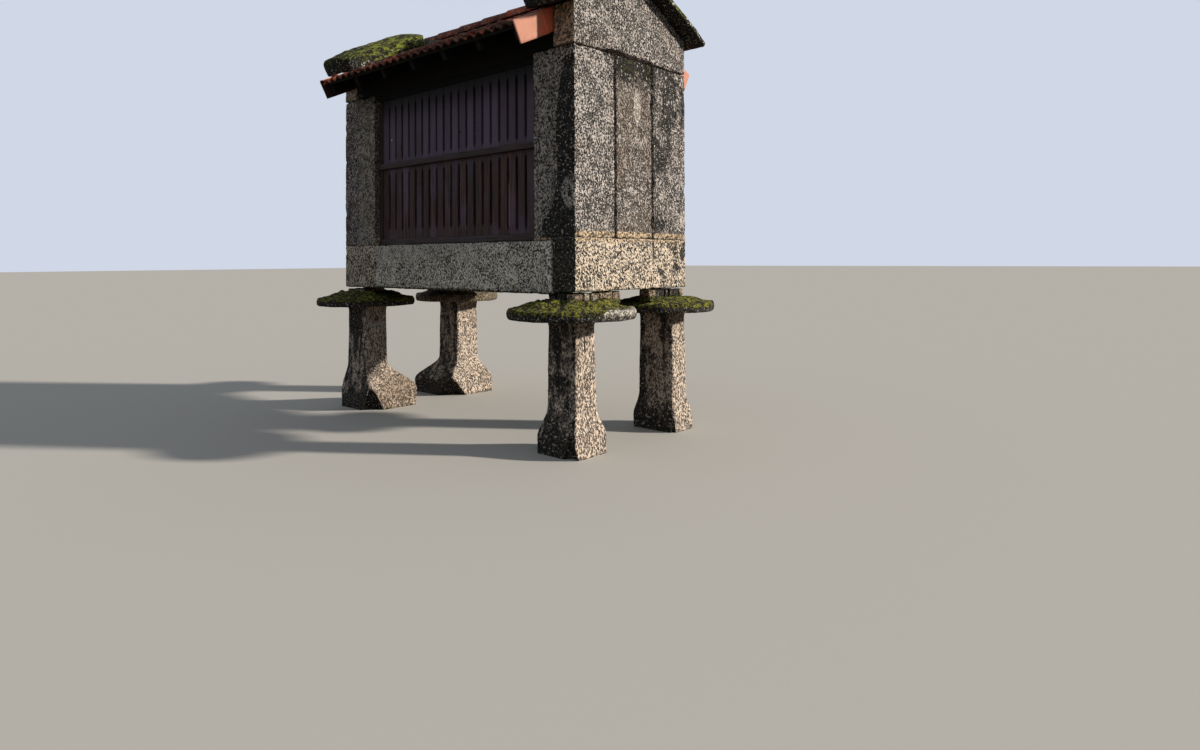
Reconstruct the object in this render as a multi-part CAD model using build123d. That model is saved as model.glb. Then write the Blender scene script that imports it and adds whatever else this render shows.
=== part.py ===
from build123d import *
import math
import os

# Raised granary, millimetres. +X runs along the building towards its right end,
# the front long side faces -Y, +Z is up. The origin is on the ground under the middle.

os.makedirs("parts", exist_ok=True)

# Plan of the chamber
LENGTH = 3520
WIDTH = 1540

# Heights, stacked from the ground up
PILLAR_HEIGHT = 1110
PACKING_HEIGHT = 60
END_SILL_LIFT = 22
SILL_HEIGHT = 458
WALL_HEIGHT = 1565
JAMB_SHORTER = 10
EAVE_RISE = 134

# Pillars: no two are alike, so each has its own shaft and foot
SHAFT_SIZES = {"front_right": (366, 294), "front_left": (394, 316),
               "back_right": (434, 262), "back_left": (398, 352)}
SHAFT_TAPER = 28
SHAFT_EDGE_RADIUS = 32
PILLAR_INSET_X = 195
PILLAR_INSET_FRONT = 160
PILLAR_INSET_BACK = 130
COLLAR_HEIGHT = 70
COLLAR_SWELL = 14
FOOT_HEIGHTS = {"front_right": 380, "front_left": 500, "back_right": 340, "back_left": 430}
SHOULDER_HEIGHTS = {"front_right": 190, "front_left": 250, "back_right": 150, "back_left": 210}
FOOT_REACHES = {
    "front_right": {"right": 48, "left": 30, "front": 58, "back": 34},
    "front_left": {"right": 140, "left": 34, "front": 40, "back": 210},
    "back_right": {"right": 30, "left": 34, "front": 30, "back": 34},
    "back_left": {"right": 110, "left": 190, "front": 170, "back": 110},
}
FOOT_WAIST_SHARE = 0.3
FOOT_TUCK = 12
SCOOP_MARGIN = 12
SCOOP_RISE = 1.35
SCOOP_TIP = 8

# Mushroom caps
RIM_THICKNESS = 96
RIM_RADIUS = 30
DOME_RISE = 44
SEAT_RADIUS = 250
CAP_RADIUS_FRONT_RIGHT = 556
CAP_RADIUS_FRONT_LEFT = 532
CAP_RADIUS_BACK_RIGHT = 505
CAP_RADIUS_BACK_LEFT = 510
CAP_SHIFT_LEFT = 24

# Packing stones between a cap and the sills
PACK_REACH_X = 330
PACK_REACH_Y = 300
PACK_GAP = 12
PACK_EDGE = 16
PACK_SETBACK = 12

# Sills and floor
SIDE_SILL_THICKNESS = 270
END_SILL_RIGHT_DEPTH = 276
END_SILL_LEFT_DEPTH = 598
SILL_JOINT = 4
SILL_EDGE = 14
FLOOR_THICKNESS = 100
FLOOR_DROP = 28
FLOOR_BEARING = 90
FLOOR_SLABS = 4
FLOOR_JOINT = 12

# End walls: three upright slabs and a gable stone at each end
END_SLAB_THICKNESS = 276
GABLE_THICKNESS = 250
END_SLAB_COUNT = 3
END_SLAB_JOINT = 12
SLAB_EDGE = 12

# Jambs beside the timber
JAMB_THICKNESS = 230
JAMB_RIGHT_WIDTH = 211
JAMB_JOINT = 3

# Timber side: frame and slotted panels
FRAME_RECESS = 60
FRAME_THICKNESS = 60
STILE_WIDTH = 50
BOTTOM_RAIL = 60
MID_RAIL_RISE = 792
MID_RAIL_HEIGHT = 60
MID_RAIL_PROUD = 22
TOP_RAIL = 60
PANEL_THICKNESS = 30
PANEL_SETBACK = 14
SLOT_COUNT = 19
SLOT_WIDTH = 24
SLOT_END_MARGIN = 80

# Roof
ROOF_PITCH = 26.5
EAVE_OVERHANG = 433
TILE_THICKNESS = 15
TILE_WAVE = 34
TILE_ROLL_PITCH = 115
BATTEN_DEPTH = 25
BATTEN_WIDTH = 50
BATTENS_PER_SLOPE = 4
RAFTER_DEPTH = 90
RAFTER_WIDTH = 60
RAFTERS_PER_SLOPE = 7
RAFTER_SHORTER = 45
RIDGE_BEAM_WIDTH = 80
RIDGE_BEAM_DEPTH = 150
PLATE_WIDTH = 130
PLATE_SETBACK = 50
VERGE_FLANGE_DEPTH = 196
VERGE_FLANGE_THICKNESS = 15
VERGE_CLEARANCE = 0.3
RIDGE_TILE_HALF_WIDTH = 115
RIDGE_TILE_RISE = 62

# Stone slabs that weigh down the roof over the gables
ROOF_SLAB_OVERHANG = 150
ROOF_SLAB_LAP = 165
ROOF_SLAB_EDGE_FRONT = 120
ROOF_SLAB_EDGE_BACK = 55
ROOF_SLAB_CROWN_FRONT = 85
ROOF_SLAB_CROWN_BACK = 45
ROOF_SLAB_REACH_FRONT = 170
ROOF_SLAB_REACH_BACK = 110
ROOF_SLAB_ROUND = 45
ROOF_SLAB_GAP = 5
ROOF_SLAB_RIDGE_RISE = 138

# Worked out from the sizes above
half_length = LENGTH / 2
half_width = WIDTH / 2
pitch_tan = math.tan(math.radians(ROOF_PITCH))
pitch_cos = math.cos(math.radians(ROOF_PITCH))
tile_drop = TILE_THICKNESS + TILE_WAVE
batten_drop = tile_drop + BATTEN_DEPTH
rafter_drop = batten_drop + RAFTER_DEPTH
cap_top = PILLAR_HEIGHT + RIM_THICKNESS + DOME_RISE
sill_bottom = cap_top + PACKING_HEIGHT
sill_top = sill_bottom + SILL_HEIGHT
floor_top = sill_top - FLOOR_DROP
wall_top = sill_top + END_SILL_LIFT + WALL_HEIGHT
jamb_top = wall_top - JAMB_SHORTER
mid_rail_bottom = sill_top + MID_RAIL_RISE
plane_at_wall = wall_top + EAVE_RISE + EAVE_OVERHANG * pitch_tan
jamb_outer = half_length - END_SLAB_THICKNESS - JAMB_JOINT
opening_right = jamb_outer - JAMB_RIGHT_WIDTH
opening_left = -half_length + END_SILL_LEFT_DEPTH + SILL_JOINT / 2
verge_x = half_length - GABLE_THICKNESS - VERGE_CLEARANCE
tile_half_length = verge_x - VERGE_FLANGE_THICKNESS - VERGE_CLEARANCE
roof_slab_width = ROOF_SLAB_OVERHANG + GABLE_THICKNESS + ROOF_SLAB_LAP

SIDES = {"front": -1, "back": 1}
ENDS = {"right": 1, "left": -1}
END_SILL_DEPTH = {1: END_SILL_RIGHT_DEPTH, -1: END_SILL_LEFT_DEPTH}
END_BOTTOM = {1: sill_bottom + END_SILL_LIFT, -1: sill_bottom}
END_TOP = {1: sill_top + END_SILL_LIFT, -1: sill_top}


def plane_z(y, drop=0):
    """Height of the plane that lies `drop` under the roof's top plane, at the distance y from the middle."""
    return plane_at_wall + (half_width - abs(y)) * pitch_tan - drop / pitch_cos


def block(x0, x1, y0, y1, z0, z1):
    """A box between two corners."""
    low = (min(x0, x1), min(y0, y1), min(z0, z1))
    size = (abs(x1 - x0), abs(y1 - y0), abs(z1 - z0))
    return Pos(*low) * Box(*size, align=Align.MIN)


def hewn(shape, edge):
    """The shape with every edge knocked off, as a stone dressed by hand."""
    return chamfer(shape.edges(), edge)


def across(outline, x0, x1):
    """A Y-Z outline made solid from x0 to x1."""
    face = make_face(Polyline([(0, y, z) for y, z in outline], close=True))
    return Pos(min(x0, x1), 0, 0) * extrude(face, abs(x1 - x0), dir=(1, 0, 0))


def along_slope(side, x0, x1, upper, lower, top_drop, bottom_drop):
    """A straight piece of the slope: between two distances from the middle and two drops under the top plane."""
    lean = math.sin(math.radians(ROOF_PITCH))
    top = [(side * y, plane_z(y, top_drop)) for y in (upper, lower)]
    shift = (bottom_drop - top_drop) * lean
    bottom = [(side * (y - shift), plane_z(y - shift, bottom_drop)) for y in (lower, upper)]
    return across(top + bottom, x0, x1)


def write(node, shape):
    """Write one node's solids as a STEP file."""
    solids = shape.solids() if hasattr(shape, "solids") else shape
    export_step(Compound(children=list(solids)), f"parts/{node}.step")


def pillar(place):
    """A tapered granite shaft with a swollen collar and a flared foot, scooped out at its front right corner."""
    size_x, size_y = SHAFT_SIZES[place]
    reach = FOOT_REACHES[place]
    foot_height = FOOT_HEIGHTS[place]
    shoulder = SHOULDER_HEIGHTS[place]
    collar_start = PILLAR_HEIGHT - COLLAR_HEIGHT

    def section(z, grow=0.0, share=0.0):
        taper = SHAFT_TAPER * min(z / collar_start, 1)
        width = size_x - taper + grow + share * (reach["right"] + reach["left"])
        depth = size_y - taper + grow + share * (reach["front"] + reach["back"])
        x = share * (reach["right"] - reach["left"]) / 2
        y = share * (reach["back"] - reach["front"]) / 2
        return Pos(x, y, z) * RectangleRounded(width, depth, SHAFT_EDGE_RADIUS)

    body = loft([section(0), section(collar_start)])
    body += loft([section(collar_start), section(PILLAR_HEIGHT, COLLAR_SWELL)])
    waist = (foot_height + shoulder) / 2
    foot = loft([section(foot_height), section(waist, 0, FOOT_WAIST_SHARE), section(shoulder, 0, 1),
                 section(0, -FOOT_TUCK, 1)])
    radius = math.hypot(reach["right"], reach["front"]) - SCOOP_MARGIN + SHAFT_EDGE_RADIUS / 2
    scoop = Cone(radius, SCOOP_TIP, shoulder * SCOOP_RISE, align=(Align.CENTER, Align.CENTER, Align.MIN))
    foot -= Pos(size_x / 2 + reach["right"], -size_y / 2 - reach["front"], 0) * scoop
    return body + foot


def cap(radius):
    """A thick stone disc, flat below, rounded at the rim and domed above to a flat seat."""
    rim_top = RIM_THICKNESS
    outline = Polyline((0, 0), (radius - RIM_RADIUS, 0))
    outline += RadiusArc((radius - RIM_RADIUS, 0), (radius, RIM_RADIUS), -RIM_RADIUS)
    outline += Line((radius, RIM_RADIUS), (radius, rim_top - RIM_RADIUS))
    outline += RadiusArc((radius, rim_top - RIM_RADIUS), (radius - RIM_RADIUS, rim_top), -RIM_RADIUS)
    outline += Line((radius - RIM_RADIUS, rim_top), (SEAT_RADIUS, rim_top + DOME_RISE))
    outline += Polyline((SEAT_RADIUS, rim_top + DOME_RISE), (0, rim_top + DOME_RISE), (0, 0))
    return revolve(Plane.XZ * make_face(outline), Axis.Z)


def packing(end, side):
    """Two stones on a cap: one under the end sill and one under the long sill."""
    outer_x = end * (half_length - PACK_SETBACK)
    split_x = end * (half_length - END_SILL_RIGHT_DEPTH)
    inner_x = end * (half_length - PACK_SETBACK - PACK_REACH_X)
    outer_y = side * (half_width - PACK_SETBACK)
    inner_y = side * (half_width - PACK_SETBACK - PACK_REACH_Y)
    first = block(outer_x, split_x + end * PACK_GAP / 2, outer_y, inner_y, cap_top, END_BOTTOM[end])
    second = block(split_x - end * PACK_GAP / 2, inner_x, outer_y, inner_y, cap_top, sill_bottom)
    stones = [hewn(stone, PACK_EDGE) for stone in (first, second)]
    return Compound(children=stones)


def side_sill(side):
    """A long sill stone with a rebate along its inner edge for the floor slabs."""
    x0 = -half_length + END_SILL_LEFT_DEPTH + SILL_JOINT
    x1 = half_length - END_SILL_RIGHT_DEPTH - SILL_JOINT
    outer = side * half_width
    inner = side * (half_width - SIDE_SILL_THICKNESS)
    stone = hewn(block(x0, x1, outer, inner, sill_bottom, sill_top), SILL_EDGE)
    rebate = inner + side * FLOOR_BEARING
    return stone - block(x0 - 1, x1 + 1, inner - side, rebate, floor_top - FLOOR_THICKNESS, sill_top + 1)


def end_sill(end):
    """A cross sill stone as wide as the building."""
    outer = end * half_length
    inner = outer - end * END_SILL_DEPTH[end]
    stone = block(outer, inner, -half_width, half_width, END_BOTTOM[end], END_TOP[end])
    return hewn(stone, SILL_EDGE)


def floor_slabs():
    """Floor slabs side by side between the cross sills, borne by the rebates of the long sills."""
    x0 = -half_length + END_SILL_LEFT_DEPTH + SILL_JOINT
    x1 = half_length - END_SILL_RIGHT_DEPTH - SILL_JOINT
    reach = half_width - SIDE_SILL_THICKNESS + FLOOR_BEARING
    step = (x1 - x0) / FLOOR_SLABS
    slabs = []
    for index in range(FLOOR_SLABS):
        left = x0 + index * step + FLOOR_JOINT / 2
        slabs.append(block(left, left + step - FLOOR_JOINT, -reach, reach, floor_top - FLOOR_THICKNESS, floor_top))
    return Compound(children=slabs)


def end_slab(end, index):
    """One of the upright slabs of an end wall, counted from the front."""
    step = WIDTH / END_SLAB_COUNT
    y0 = -half_width + index * step
    y1 = y0 + step
    if index > 0:
        y0 += END_SLAB_JOINT / 2
    if index < END_SLAB_COUNT - 1:
        y1 -= END_SLAB_JOINT / 2
    outer = end * half_length
    return hewn(block(outer, outer - end * END_SLAB_THICKNESS, y0, y1, END_TOP[end], wall_top), SLAB_EDGE)


def gable(end):
    """The gable stone: upright kneelers at both sides and two slopes in the roof's top plane."""
    outline = [(-half_width, wall_top), (half_width, wall_top), (half_width, plane_z(half_width)),
               (0, plane_z(0)), (-half_width, plane_z(half_width))]
    outer = end * half_length
    return across(outline, outer, outer - end * GABLE_THICKNESS)


def jamb(end, side):
    """An upright stone between the end slab and the timber, on the sills."""
    inner_x = opening_right if end > 0 else opening_left
    stone = block(end * jamb_outer, inner_x, side * half_width, side * (half_width - JAMB_THICKNESS),
                  sill_top, jamb_top)
    return hewn(stone, SLAB_EDGE)


def timber_frame(side):
    """Stiles, bottom rail, mid rail and top rail around two slotted panels."""
    face = side * (half_width - FRAME_RECESS)
    back = face - side * FRAME_THICKNESS
    proud = face + side * MID_RAIL_PROUD
    frame = block(opening_left, opening_right, face, back, sill_top, sill_top + BOTTOM_RAIL)
    frame += block(opening_left, opening_right, proud, back, mid_rail_bottom, mid_rail_bottom + MID_RAIL_HEIGHT)
    frame += block(opening_left, opening_right, face, back, jamb_top - TOP_RAIL, jamb_top)
    for x0, x1 in ((opening_left, opening_left + STILE_WIDTH), (opening_right - STILE_WIDTH, opening_right)):
        frame += block(x0, x1, face, back, sill_top, jamb_top)
    return frame


def slotted_panels(side):
    """A lower and an upper panel of upright boards with a row of pointed slots between them."""
    face = side * (half_width - FRAME_RECESS - PANEL_SETBACK)
    back = face - side * PANEL_THICKNESS
    x0 = opening_left + STILE_WIDTH
    x1 = opening_right - STILE_WIDTH
    step = (x1 - x0) / (SLOT_COUNT + 1)
    panels = []
    for z0, z1 in ((sill_top + BOTTOM_RAIL, mid_rail_bottom),
                   (mid_rail_bottom + MID_RAIL_HEIGHT, jamb_top - TOP_RAIL)):
        height = z1 - z0
        tip = height / 2 - SLOT_END_MARGIN
        edge = SLOT_WIDTH / 2
        sheet = Rectangle(x1 - x0, height)
        slot = Polygon((0, tip), (-edge, tip - edge), (-edge, edge - tip), (0, -tip), (edge, edge - tip),
                       (edge, tip - edge), align=None)
        sheet -= GridLocations(step, 1, SLOT_COUNT, 1) * slot
        plane = Plane(origin=((x0 + x1) / 2, max(face, back), (z0 + z1) / 2), x_dir=(1, 0, 0), z_dir=(0, -1, 0))
        panels.append((plane * extrude(sheet, PANEL_THICKNESS)).solid())
    return Compound(children=panels)


def wall_plates():
    """A timber plate on each long side, its top cut to the slope of the rafters."""
    plates = []
    for side in SIDES.values():
        outer = half_width - PLATE_SETBACK
        inner = outer - PLATE_WIDTH
        outline = [(side * outer, jamb_top), (side * outer, plane_z(outer, rafter_drop)),
                   (side * inner, plane_z(inner, rafter_drop)), (side * inner, jamb_top)]
        plates.append(across(outline, -jamb_outer, jamb_outer).solid())
    return Compound(children=plates)


def ridge_beam():
    """The beam between the gables that the rafters butt against."""
    top = plane_z(RIDGE_BEAM_WIDTH / 2, batten_drop)
    x_end = half_length - GABLE_THICKNESS
    return block(-x_end, x_end, -RIDGE_BEAM_WIDTH / 2, RIDGE_BEAM_WIDTH / 2, top - RIDGE_BEAM_DEPTH, top)


def rafters():
    """Rafters of both slopes, from the ridge beam over the plates to the eaves."""
    x_end = tile_half_length - RAFTER_WIDTH
    step = 2 * x_end / (RAFTERS_PER_SLOPE - 1)
    foot = half_width + EAVE_OVERHANG - RAFTER_SHORTER
    pieces = []
    for side in SIDES.values():
        for index in range(RAFTERS_PER_SLOPE):
            x0 = -x_end + index * step - RAFTER_WIDTH / 2
            ridge_face = RIDGE_BEAM_WIDTH / 2
            outline = [(side * ridge_face, plane_z(ridge_face, batten_drop)), (side * foot, plane_z(foot, batten_drop)),
                       (side * (foot - RAFTER_DEPTH * pitch_tan), plane_z(foot - RAFTER_DEPTH * pitch_tan, rafter_drop)),
                       (side * ridge_face, plane_z(ridge_face, rafter_drop))]
            pieces.append(across(outline, x0, x0 + RAFTER_WIDTH).solid())
    return Compound(children=pieces)


def battens():
    """Battens along both slopes, on the rafters and under the tiles."""
    top = RIDGE_BEAM_WIDTH
    foot = half_width + EAVE_OVERHANG - RAFTER_SHORTER
    span = BATTEN_WIDTH * pitch_cos
    step = (foot - span - top) / (BATTENS_PER_SLOPE - 1)
    pieces = []
    for side in SIDES.values():
        for index in range(BATTENS_PER_SLOPE):
            upper = top + index * step
            piece = along_slope(side, -tile_half_length, tile_half_length, upper, upper + span, tile_drop, batten_drop)
            pieces.append(piece.solid())
    return Compound(children=pieces)


def wave_edge(rolls, step, level, direction):
    """Arcs along one face of the tiles, each tangent to the next: a roll, a pan, a roll and so on."""
    half = TILE_WAVE / 2
    edge = None
    for index in range(2 * rolls):
        turn = index if direction > 0 else 2 * rolls - 1 - index
        start = -tile_half_length + (turn + (0 if direction > 0 else 1)) * step / 2
        middle = start + direction * step / 4
        bulge = half if turn % 2 else -half
        arc = ThreePointArc((start, level), (middle, level + bulge), (start + direction * step / 2, level))
        edge = arc if edge is None else edge + arc
    return edge


def tile_profile():
    """The tiles' cross-section over the slope: rolls and pans of one thickness."""
    rolls = round(2 * tile_half_length / TILE_ROLL_PITCH)
    step = 2 * tile_half_length / rolls
    level = -TILE_WAVE / 2
    low = level - TILE_THICKNESS
    ends = (Line((tile_half_length, level), (tile_half_length, low))
            + Line((-tile_half_length, low), (-tile_half_length, level)))
    return make_face(wave_edge(rolls, step, level, 1) + wave_edge(rolls, step, low, -1) + ends)


def tiles(side):
    """One slope of interlocking tiles with its rolls running down the slope."""
    ridge_y = tile_drop * math.sin(math.radians(ROOF_PITCH))
    foot = half_width + EAVE_OVERHANG
    length = (foot - ridge_y) / pitch_cos
    down = Vector(0, side * pitch_cos, -math.sin(math.radians(ROOF_PITCH)))
    out = Vector(0, side * math.sin(math.radians(ROOF_PITCH)), pitch_cos)
    x_dir = Vector(1, 0, 0)
    plane = Plane(origin=(0, side * ridge_y, plane_z(ridge_y)), x_dir=x_dir, z_dir=x_dir.cross(out))
    profile = plane * tile_profile()
    return extrude(profile, length, dir=down)


def ridge_tiles():
    """A half-round capping along the ridge, seated on the tiles of both slopes."""
    reach = half_length + ROOF_SLAB_OVERHANG - roof_slab_width
    feet = plane_z(RIDGE_TILE_HALF_WIDTH)
    crown = feet + RIDGE_TILE_RISE + RIDGE_TILE_HALF_WIDTH * pitch_tan
    outer = ThreePointArc((0, -RIDGE_TILE_HALF_WIDTH, feet), (0, 0, crown), (0, RIDGE_TILE_HALF_WIDTH, feet))
    inner_half = RIDGE_TILE_HALF_WIDTH - TILE_THICKNESS
    inner_feet = plane_z(inner_half)
    inner = ThreePointArc((0, inner_half, inner_feet), (0, 0, crown - TILE_THICKNESS), (0, -inner_half, inner_feet))
    feet_lines = (Line((0, RIDGE_TILE_HALF_WIDTH, feet), (0, inner_half, inner_feet))
                  + Line((0, -inner_half, inner_feet), (0, -RIDGE_TILE_HALF_WIDTH, feet)))
    face = make_face(outer + inner + feet_lines)
    return Pos(-reach, 0, 0) * extrude(face, 2 * reach, dir=(1, 0, 0))


def verge_tiles():
    """A flat flange that closes the open side of the tiles at each end of each slope."""
    pieces = []
    foot = half_width + EAVE_OVERHANG
    for side in SIDES.values():
        for end in ENDS.values():
            x_out = end * verge_x
            x_in = x_out - end * VERGE_FLANGE_THICKNESS
            upper = 2 * RIDGE_BEAM_WIDTH + VERGE_FLANGE_DEPTH * pitch_tan
            pieces.append(along_slope(side, x_in, x_out, upper, foot, 0, VERGE_FLANGE_DEPTH).solid())
    return Compound(children=pieces)


def roof_slab(end, side):
    """A crowned stone slab over one half of a gable, lapping onto the tiles and dressed level at the ridge."""
    edge = ROOF_SLAB_EDGE_FRONT if side < 0 else ROOF_SLAB_EDGE_BACK
    crown = ROOF_SLAB_CROWN_FRONT if side < 0 else ROOF_SLAB_CROWN_BACK
    reach = ROOF_SLAB_REACH_FRONT if side < 0 else ROOF_SLAB_REACH_BACK
    x_mid = end * (half_length + ROOF_SLAB_OVERHANG - roof_slab_width / 2)
    half = roof_slab_width / 2
    outline = Polyline((-half, edge), (-half, 0), (half, 0), (half, edge))
    outline += ThreePointArc((half, edge), (0, edge + crown), (-half, edge))
    out = Vector(0, side * math.sin(math.radians(ROOF_PITCH)), pitch_cos)
    down = Vector(0, side * pitch_cos, -math.sin(math.radians(ROOF_PITCH)))
    x_dir = Vector(1, 0, 0)
    start = -edge - crown
    plane = Plane(origin=(x_mid, side * start, plane_z(0) - start * pitch_tan), x_dir=x_dir, z_dir=x_dir.cross(out))
    length = (half_width + reach - start) / pitch_cos
    slab = extrude(plane * make_face(outline), length, dir=down)
    lowest = slab.faces().sort_by(Axis.Y)[0 if side < 0 else -1]
    slab = fillet(lowest.edges().sort_by(Axis.Z)[-1:], ROOF_SLAB_ROUND)
    cut = block(x_mid - half - 1, x_mid + half + 1, side * ROOF_SLAB_GAP / 2, -side * half_width,
                wall_top, plane_z(0) + half_width)
    ridge_top = block(x_mid - half - 1, x_mid + half + 1, -half_width, half_width,
                      plane_z(0) + ROOF_SLAB_RIDGE_RISE, plane_z(0) + half_width)
    return slab - cut - ridge_top


CAP_RADII = {("front", "right"): CAP_RADIUS_FRONT_RIGHT, ("front", "left"): CAP_RADIUS_FRONT_LEFT,
             ("back", "right"): CAP_RADIUS_BACK_RIGHT, ("back", "left"): CAP_RADIUS_BACK_LEFT}

for side_name, side in SIDES.items():
    inset_y = PILLAR_INSET_FRONT if side < 0 else PILLAR_INSET_BACK
    for end_name, end in ENDS.items():
        place = f"{side_name}_{end_name}"
        x = end * (half_length - PILLAR_INSET_X)
        y = side * (half_width - inset_y)
        write(f"pillar_{place}", Pos(x, y, 0) * pillar(place))
        cap_x = x if end > 0 else x - CAP_SHIFT_LEFT
        write(f"cap_{place}", Pos(cap_x, y, PILLAR_HEIGHT) * cap(CAP_RADII[(side_name, end_name)]))
        write(f"packing_{place}", packing(end, side))
        write(f"jamb_{place}", jamb(end, side))
        write(f"roof_slab_{place}", roof_slab(end, side))
    write(f"sill_{side_name}", side_sill(side))
    write(f"frame_{side_name}", timber_frame(side))
    write(f"slats_{side_name}", slotted_panels(side))
    write(f"tiles_{side_name}", tiles(side))

for end_name, end in ENDS.items():
    write(f"sill_{end_name}", end_sill(end))
    write(f"gable_{end_name}", gable(end))
    for index, name in enumerate(("front", "middle", "back")):
        write(f"end_slab_{end_name}_{name}", end_slab(end, index))

write("floor_slabs", floor_slabs())
write("wall_plates", wall_plates())
write("ridge_beam", ridge_beam())
write("rafters", rafters())
write("battens", battens())
write("ridge_tiles", ridge_tiles())
write("verge_tiles", verge_tiles())
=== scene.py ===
# Looks of the raised granary: hewn granite, slotted timber sides, clay tiles and moss.
# Metres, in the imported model's frame: +X to the right end wall, -Y out of the front side, +Z up.
import math

import bmesh
import bpy
import numpy as np
from mathutils import Matrix, Vector


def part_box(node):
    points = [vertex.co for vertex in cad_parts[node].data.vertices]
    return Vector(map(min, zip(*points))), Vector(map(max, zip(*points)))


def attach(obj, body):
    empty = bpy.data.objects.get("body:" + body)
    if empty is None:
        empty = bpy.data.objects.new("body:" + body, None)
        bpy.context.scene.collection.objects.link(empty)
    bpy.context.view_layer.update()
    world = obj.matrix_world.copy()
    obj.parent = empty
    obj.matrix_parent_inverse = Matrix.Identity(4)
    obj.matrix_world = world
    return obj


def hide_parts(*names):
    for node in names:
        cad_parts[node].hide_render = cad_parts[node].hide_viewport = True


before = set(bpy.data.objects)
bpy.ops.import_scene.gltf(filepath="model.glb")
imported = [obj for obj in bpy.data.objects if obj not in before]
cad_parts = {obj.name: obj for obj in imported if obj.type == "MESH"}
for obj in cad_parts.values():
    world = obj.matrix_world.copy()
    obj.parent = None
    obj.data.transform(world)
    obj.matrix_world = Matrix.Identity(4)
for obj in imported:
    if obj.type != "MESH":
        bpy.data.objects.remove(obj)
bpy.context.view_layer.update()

SIDES = {"front": -1, "back": 1}
ENDS = {"right": 1, "left": -1}
CORNERS = [(side_name, end_name) for side_name in SIDES for end_name in ENDS]

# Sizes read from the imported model
half_length, half_width, sill_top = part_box("sill_right")[1]
wall_top, ridge_z = [corner.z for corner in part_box("gable_right")]
verge_end, verge_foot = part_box("verge_tiles")[1].xy
tile_half_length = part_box("tiles_front")[1].x
cap_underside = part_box("cap_front_right")[0].z

ROOF_PITCH = math.radians(26.5)
pitch_cos = math.cos(ROOF_PITCH)
pitch_sin = math.sin(ROOF_PITCH)
pitch_tan = math.tan(ROOF_PITCH)
slope_length = verge_foot / pitch_cos

# Stone surface
STONE_SPACING = 0.0175
STONE_EDGE = 0.014
STONE_RELIEF = 0.006
CHIP_DEPTH = 0.020
BEDDING = 0.010
JOINT_OVERLAP = 0.018

# Numbers that make each piece's noise its own
seeds = {name: index + 1 for index, name in enumerate(sorted(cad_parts))}


# Noise

def lattice_gradients(cells, seed):
    """A repeatable random unit vector for each cell corner."""
    key = (cells[:, 0] * 73856093) ^ (cells[:, 1] * 19349663) ^ (cells[:, 2] * 83492791) ^ (seed * 2654435)
    key = (key ^ (key >> 13)) * 1274126177
    key = (key ^ (key >> 16)) & 0xFFFFFF
    turn = (key & 0xFFF) / 4096.0 * 2 * math.pi
    rise = ((key >> 12) & 0xFFF) / 2048.0 - 1
    flat = np.sqrt(np.maximum(0, 1 - rise * rise))
    return np.stack([flat * np.cos(turn), flat * np.sin(turn), rise], axis=1)


def noise(points, seed):
    """Smooth gradient noise, about -1 to 1."""
    base = np.floor(points)
    part = points - base
    base = base.astype(np.int64)
    fade = part * part * part * (part * (part * 6 - 15) + 10)
    total = np.zeros(len(points))
    for corner in np.ndindex(2, 2, 2):
        step = np.array(corner)
        weight = np.prod(np.where(step == 1, fade, 1 - fade), axis=1)
        total += weight * np.sum(lattice_gradients(base + step, seed) * (part - step), axis=1)
    return total * 1.6


def layered(points, size, layers, seed):
    """Several sizes of noise added up, the largest about `size` metres across."""
    total = np.zeros(len(points))
    strengths = 0.5 ** np.arange(layers)
    for layer, strength in enumerate(strengths):
        total += strength * noise(points / (size * strength) + 17.3 * layer, seed + 31 * layer)
    return total / strengths.sum()


def smooth_step(low, high, value):
    """0 below low, 1 above high, smooth between."""
    t = np.clip((value - low) / (high - low), 0, 1)
    return t * t * (3 - 2 * t)


def fade_out(low, high, value):
    return 1 - smooth_step(low, high, value)


def own_random(node):
    return np.random.default_rng(seeds[node])


# Meshes

def link(name, data):
    """A new object in the scene."""
    made = bpy.data.objects.new(name, data)
    bpy.context.scene.collection.objects.link(made)
    return made


def add_piece(name, mesh, material, node):
    """A piece that rides on the building and stands for a node where one is given."""
    mesh.materials.append(material)
    piece = link(name, mesh)
    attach(piece, "root")
    if node:
        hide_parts(node)


def make_object(name, vertices, faces, material, masks=None, node=None, seed=None, place=None):
    """A smooth mesh piece. Masks are numbers at each vertex that its material reads.

    A seed shifts the texture, so that no two pieces show the same patch of it.
    """
    mesh = bpy.data.meshes.new(name)
    mesh.from_pydata([tuple(v) for v in vertices], [], [tuple(f) for f in faces])
    mesh.polygons.foreach_set("use_smooth", [True] * len(mesh.polygons))
    mesh.update()
    for key, values in (masks or {}).items():
        attribute = mesh.attributes.new(key, "FLOAT", "POINT")
        attribute.data.foreach_set("value", np.asarray(values, np.float32))
    own = np.array(vertices if place is None else place, float)
    if seed is not None:
        own += np.random.default_rng(seed).uniform(-9, 9, 3)
    attribute = mesh.attributes.new("place", "FLOAT_VECTOR", "POINT")
    attribute.data.foreach_set("vector", own.astype(np.float32).ravel())
    add_piece(name, mesh, material, node)


def grid_lines(low, high, spacing, edge):
    """Grid places from low to high, with extra ones near both ends so that the edges can be round."""
    count = max(2, int(round((high - low - 2 * edge) / spacing)))
    inner = np.linspace(low + edge, high - edge, count + 1)
    steps = edge * np.array([0.0, 0.3, 0.62])
    return np.concatenate([low + steps, inner, (high - steps)[::-1]])


# The order of a quad's corners for the same quad facing the other way
TURNED = [0, 3, 2, 1]


def quads(grid):
    """The quads between neighbours in a grid of vertex numbers."""
    return np.stack([grid[:-1, :-1], grid[1:, :-1], grid[1:, 1:], grid[:-1, 1:]], axis=-1).reshape(-1, 4)


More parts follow.
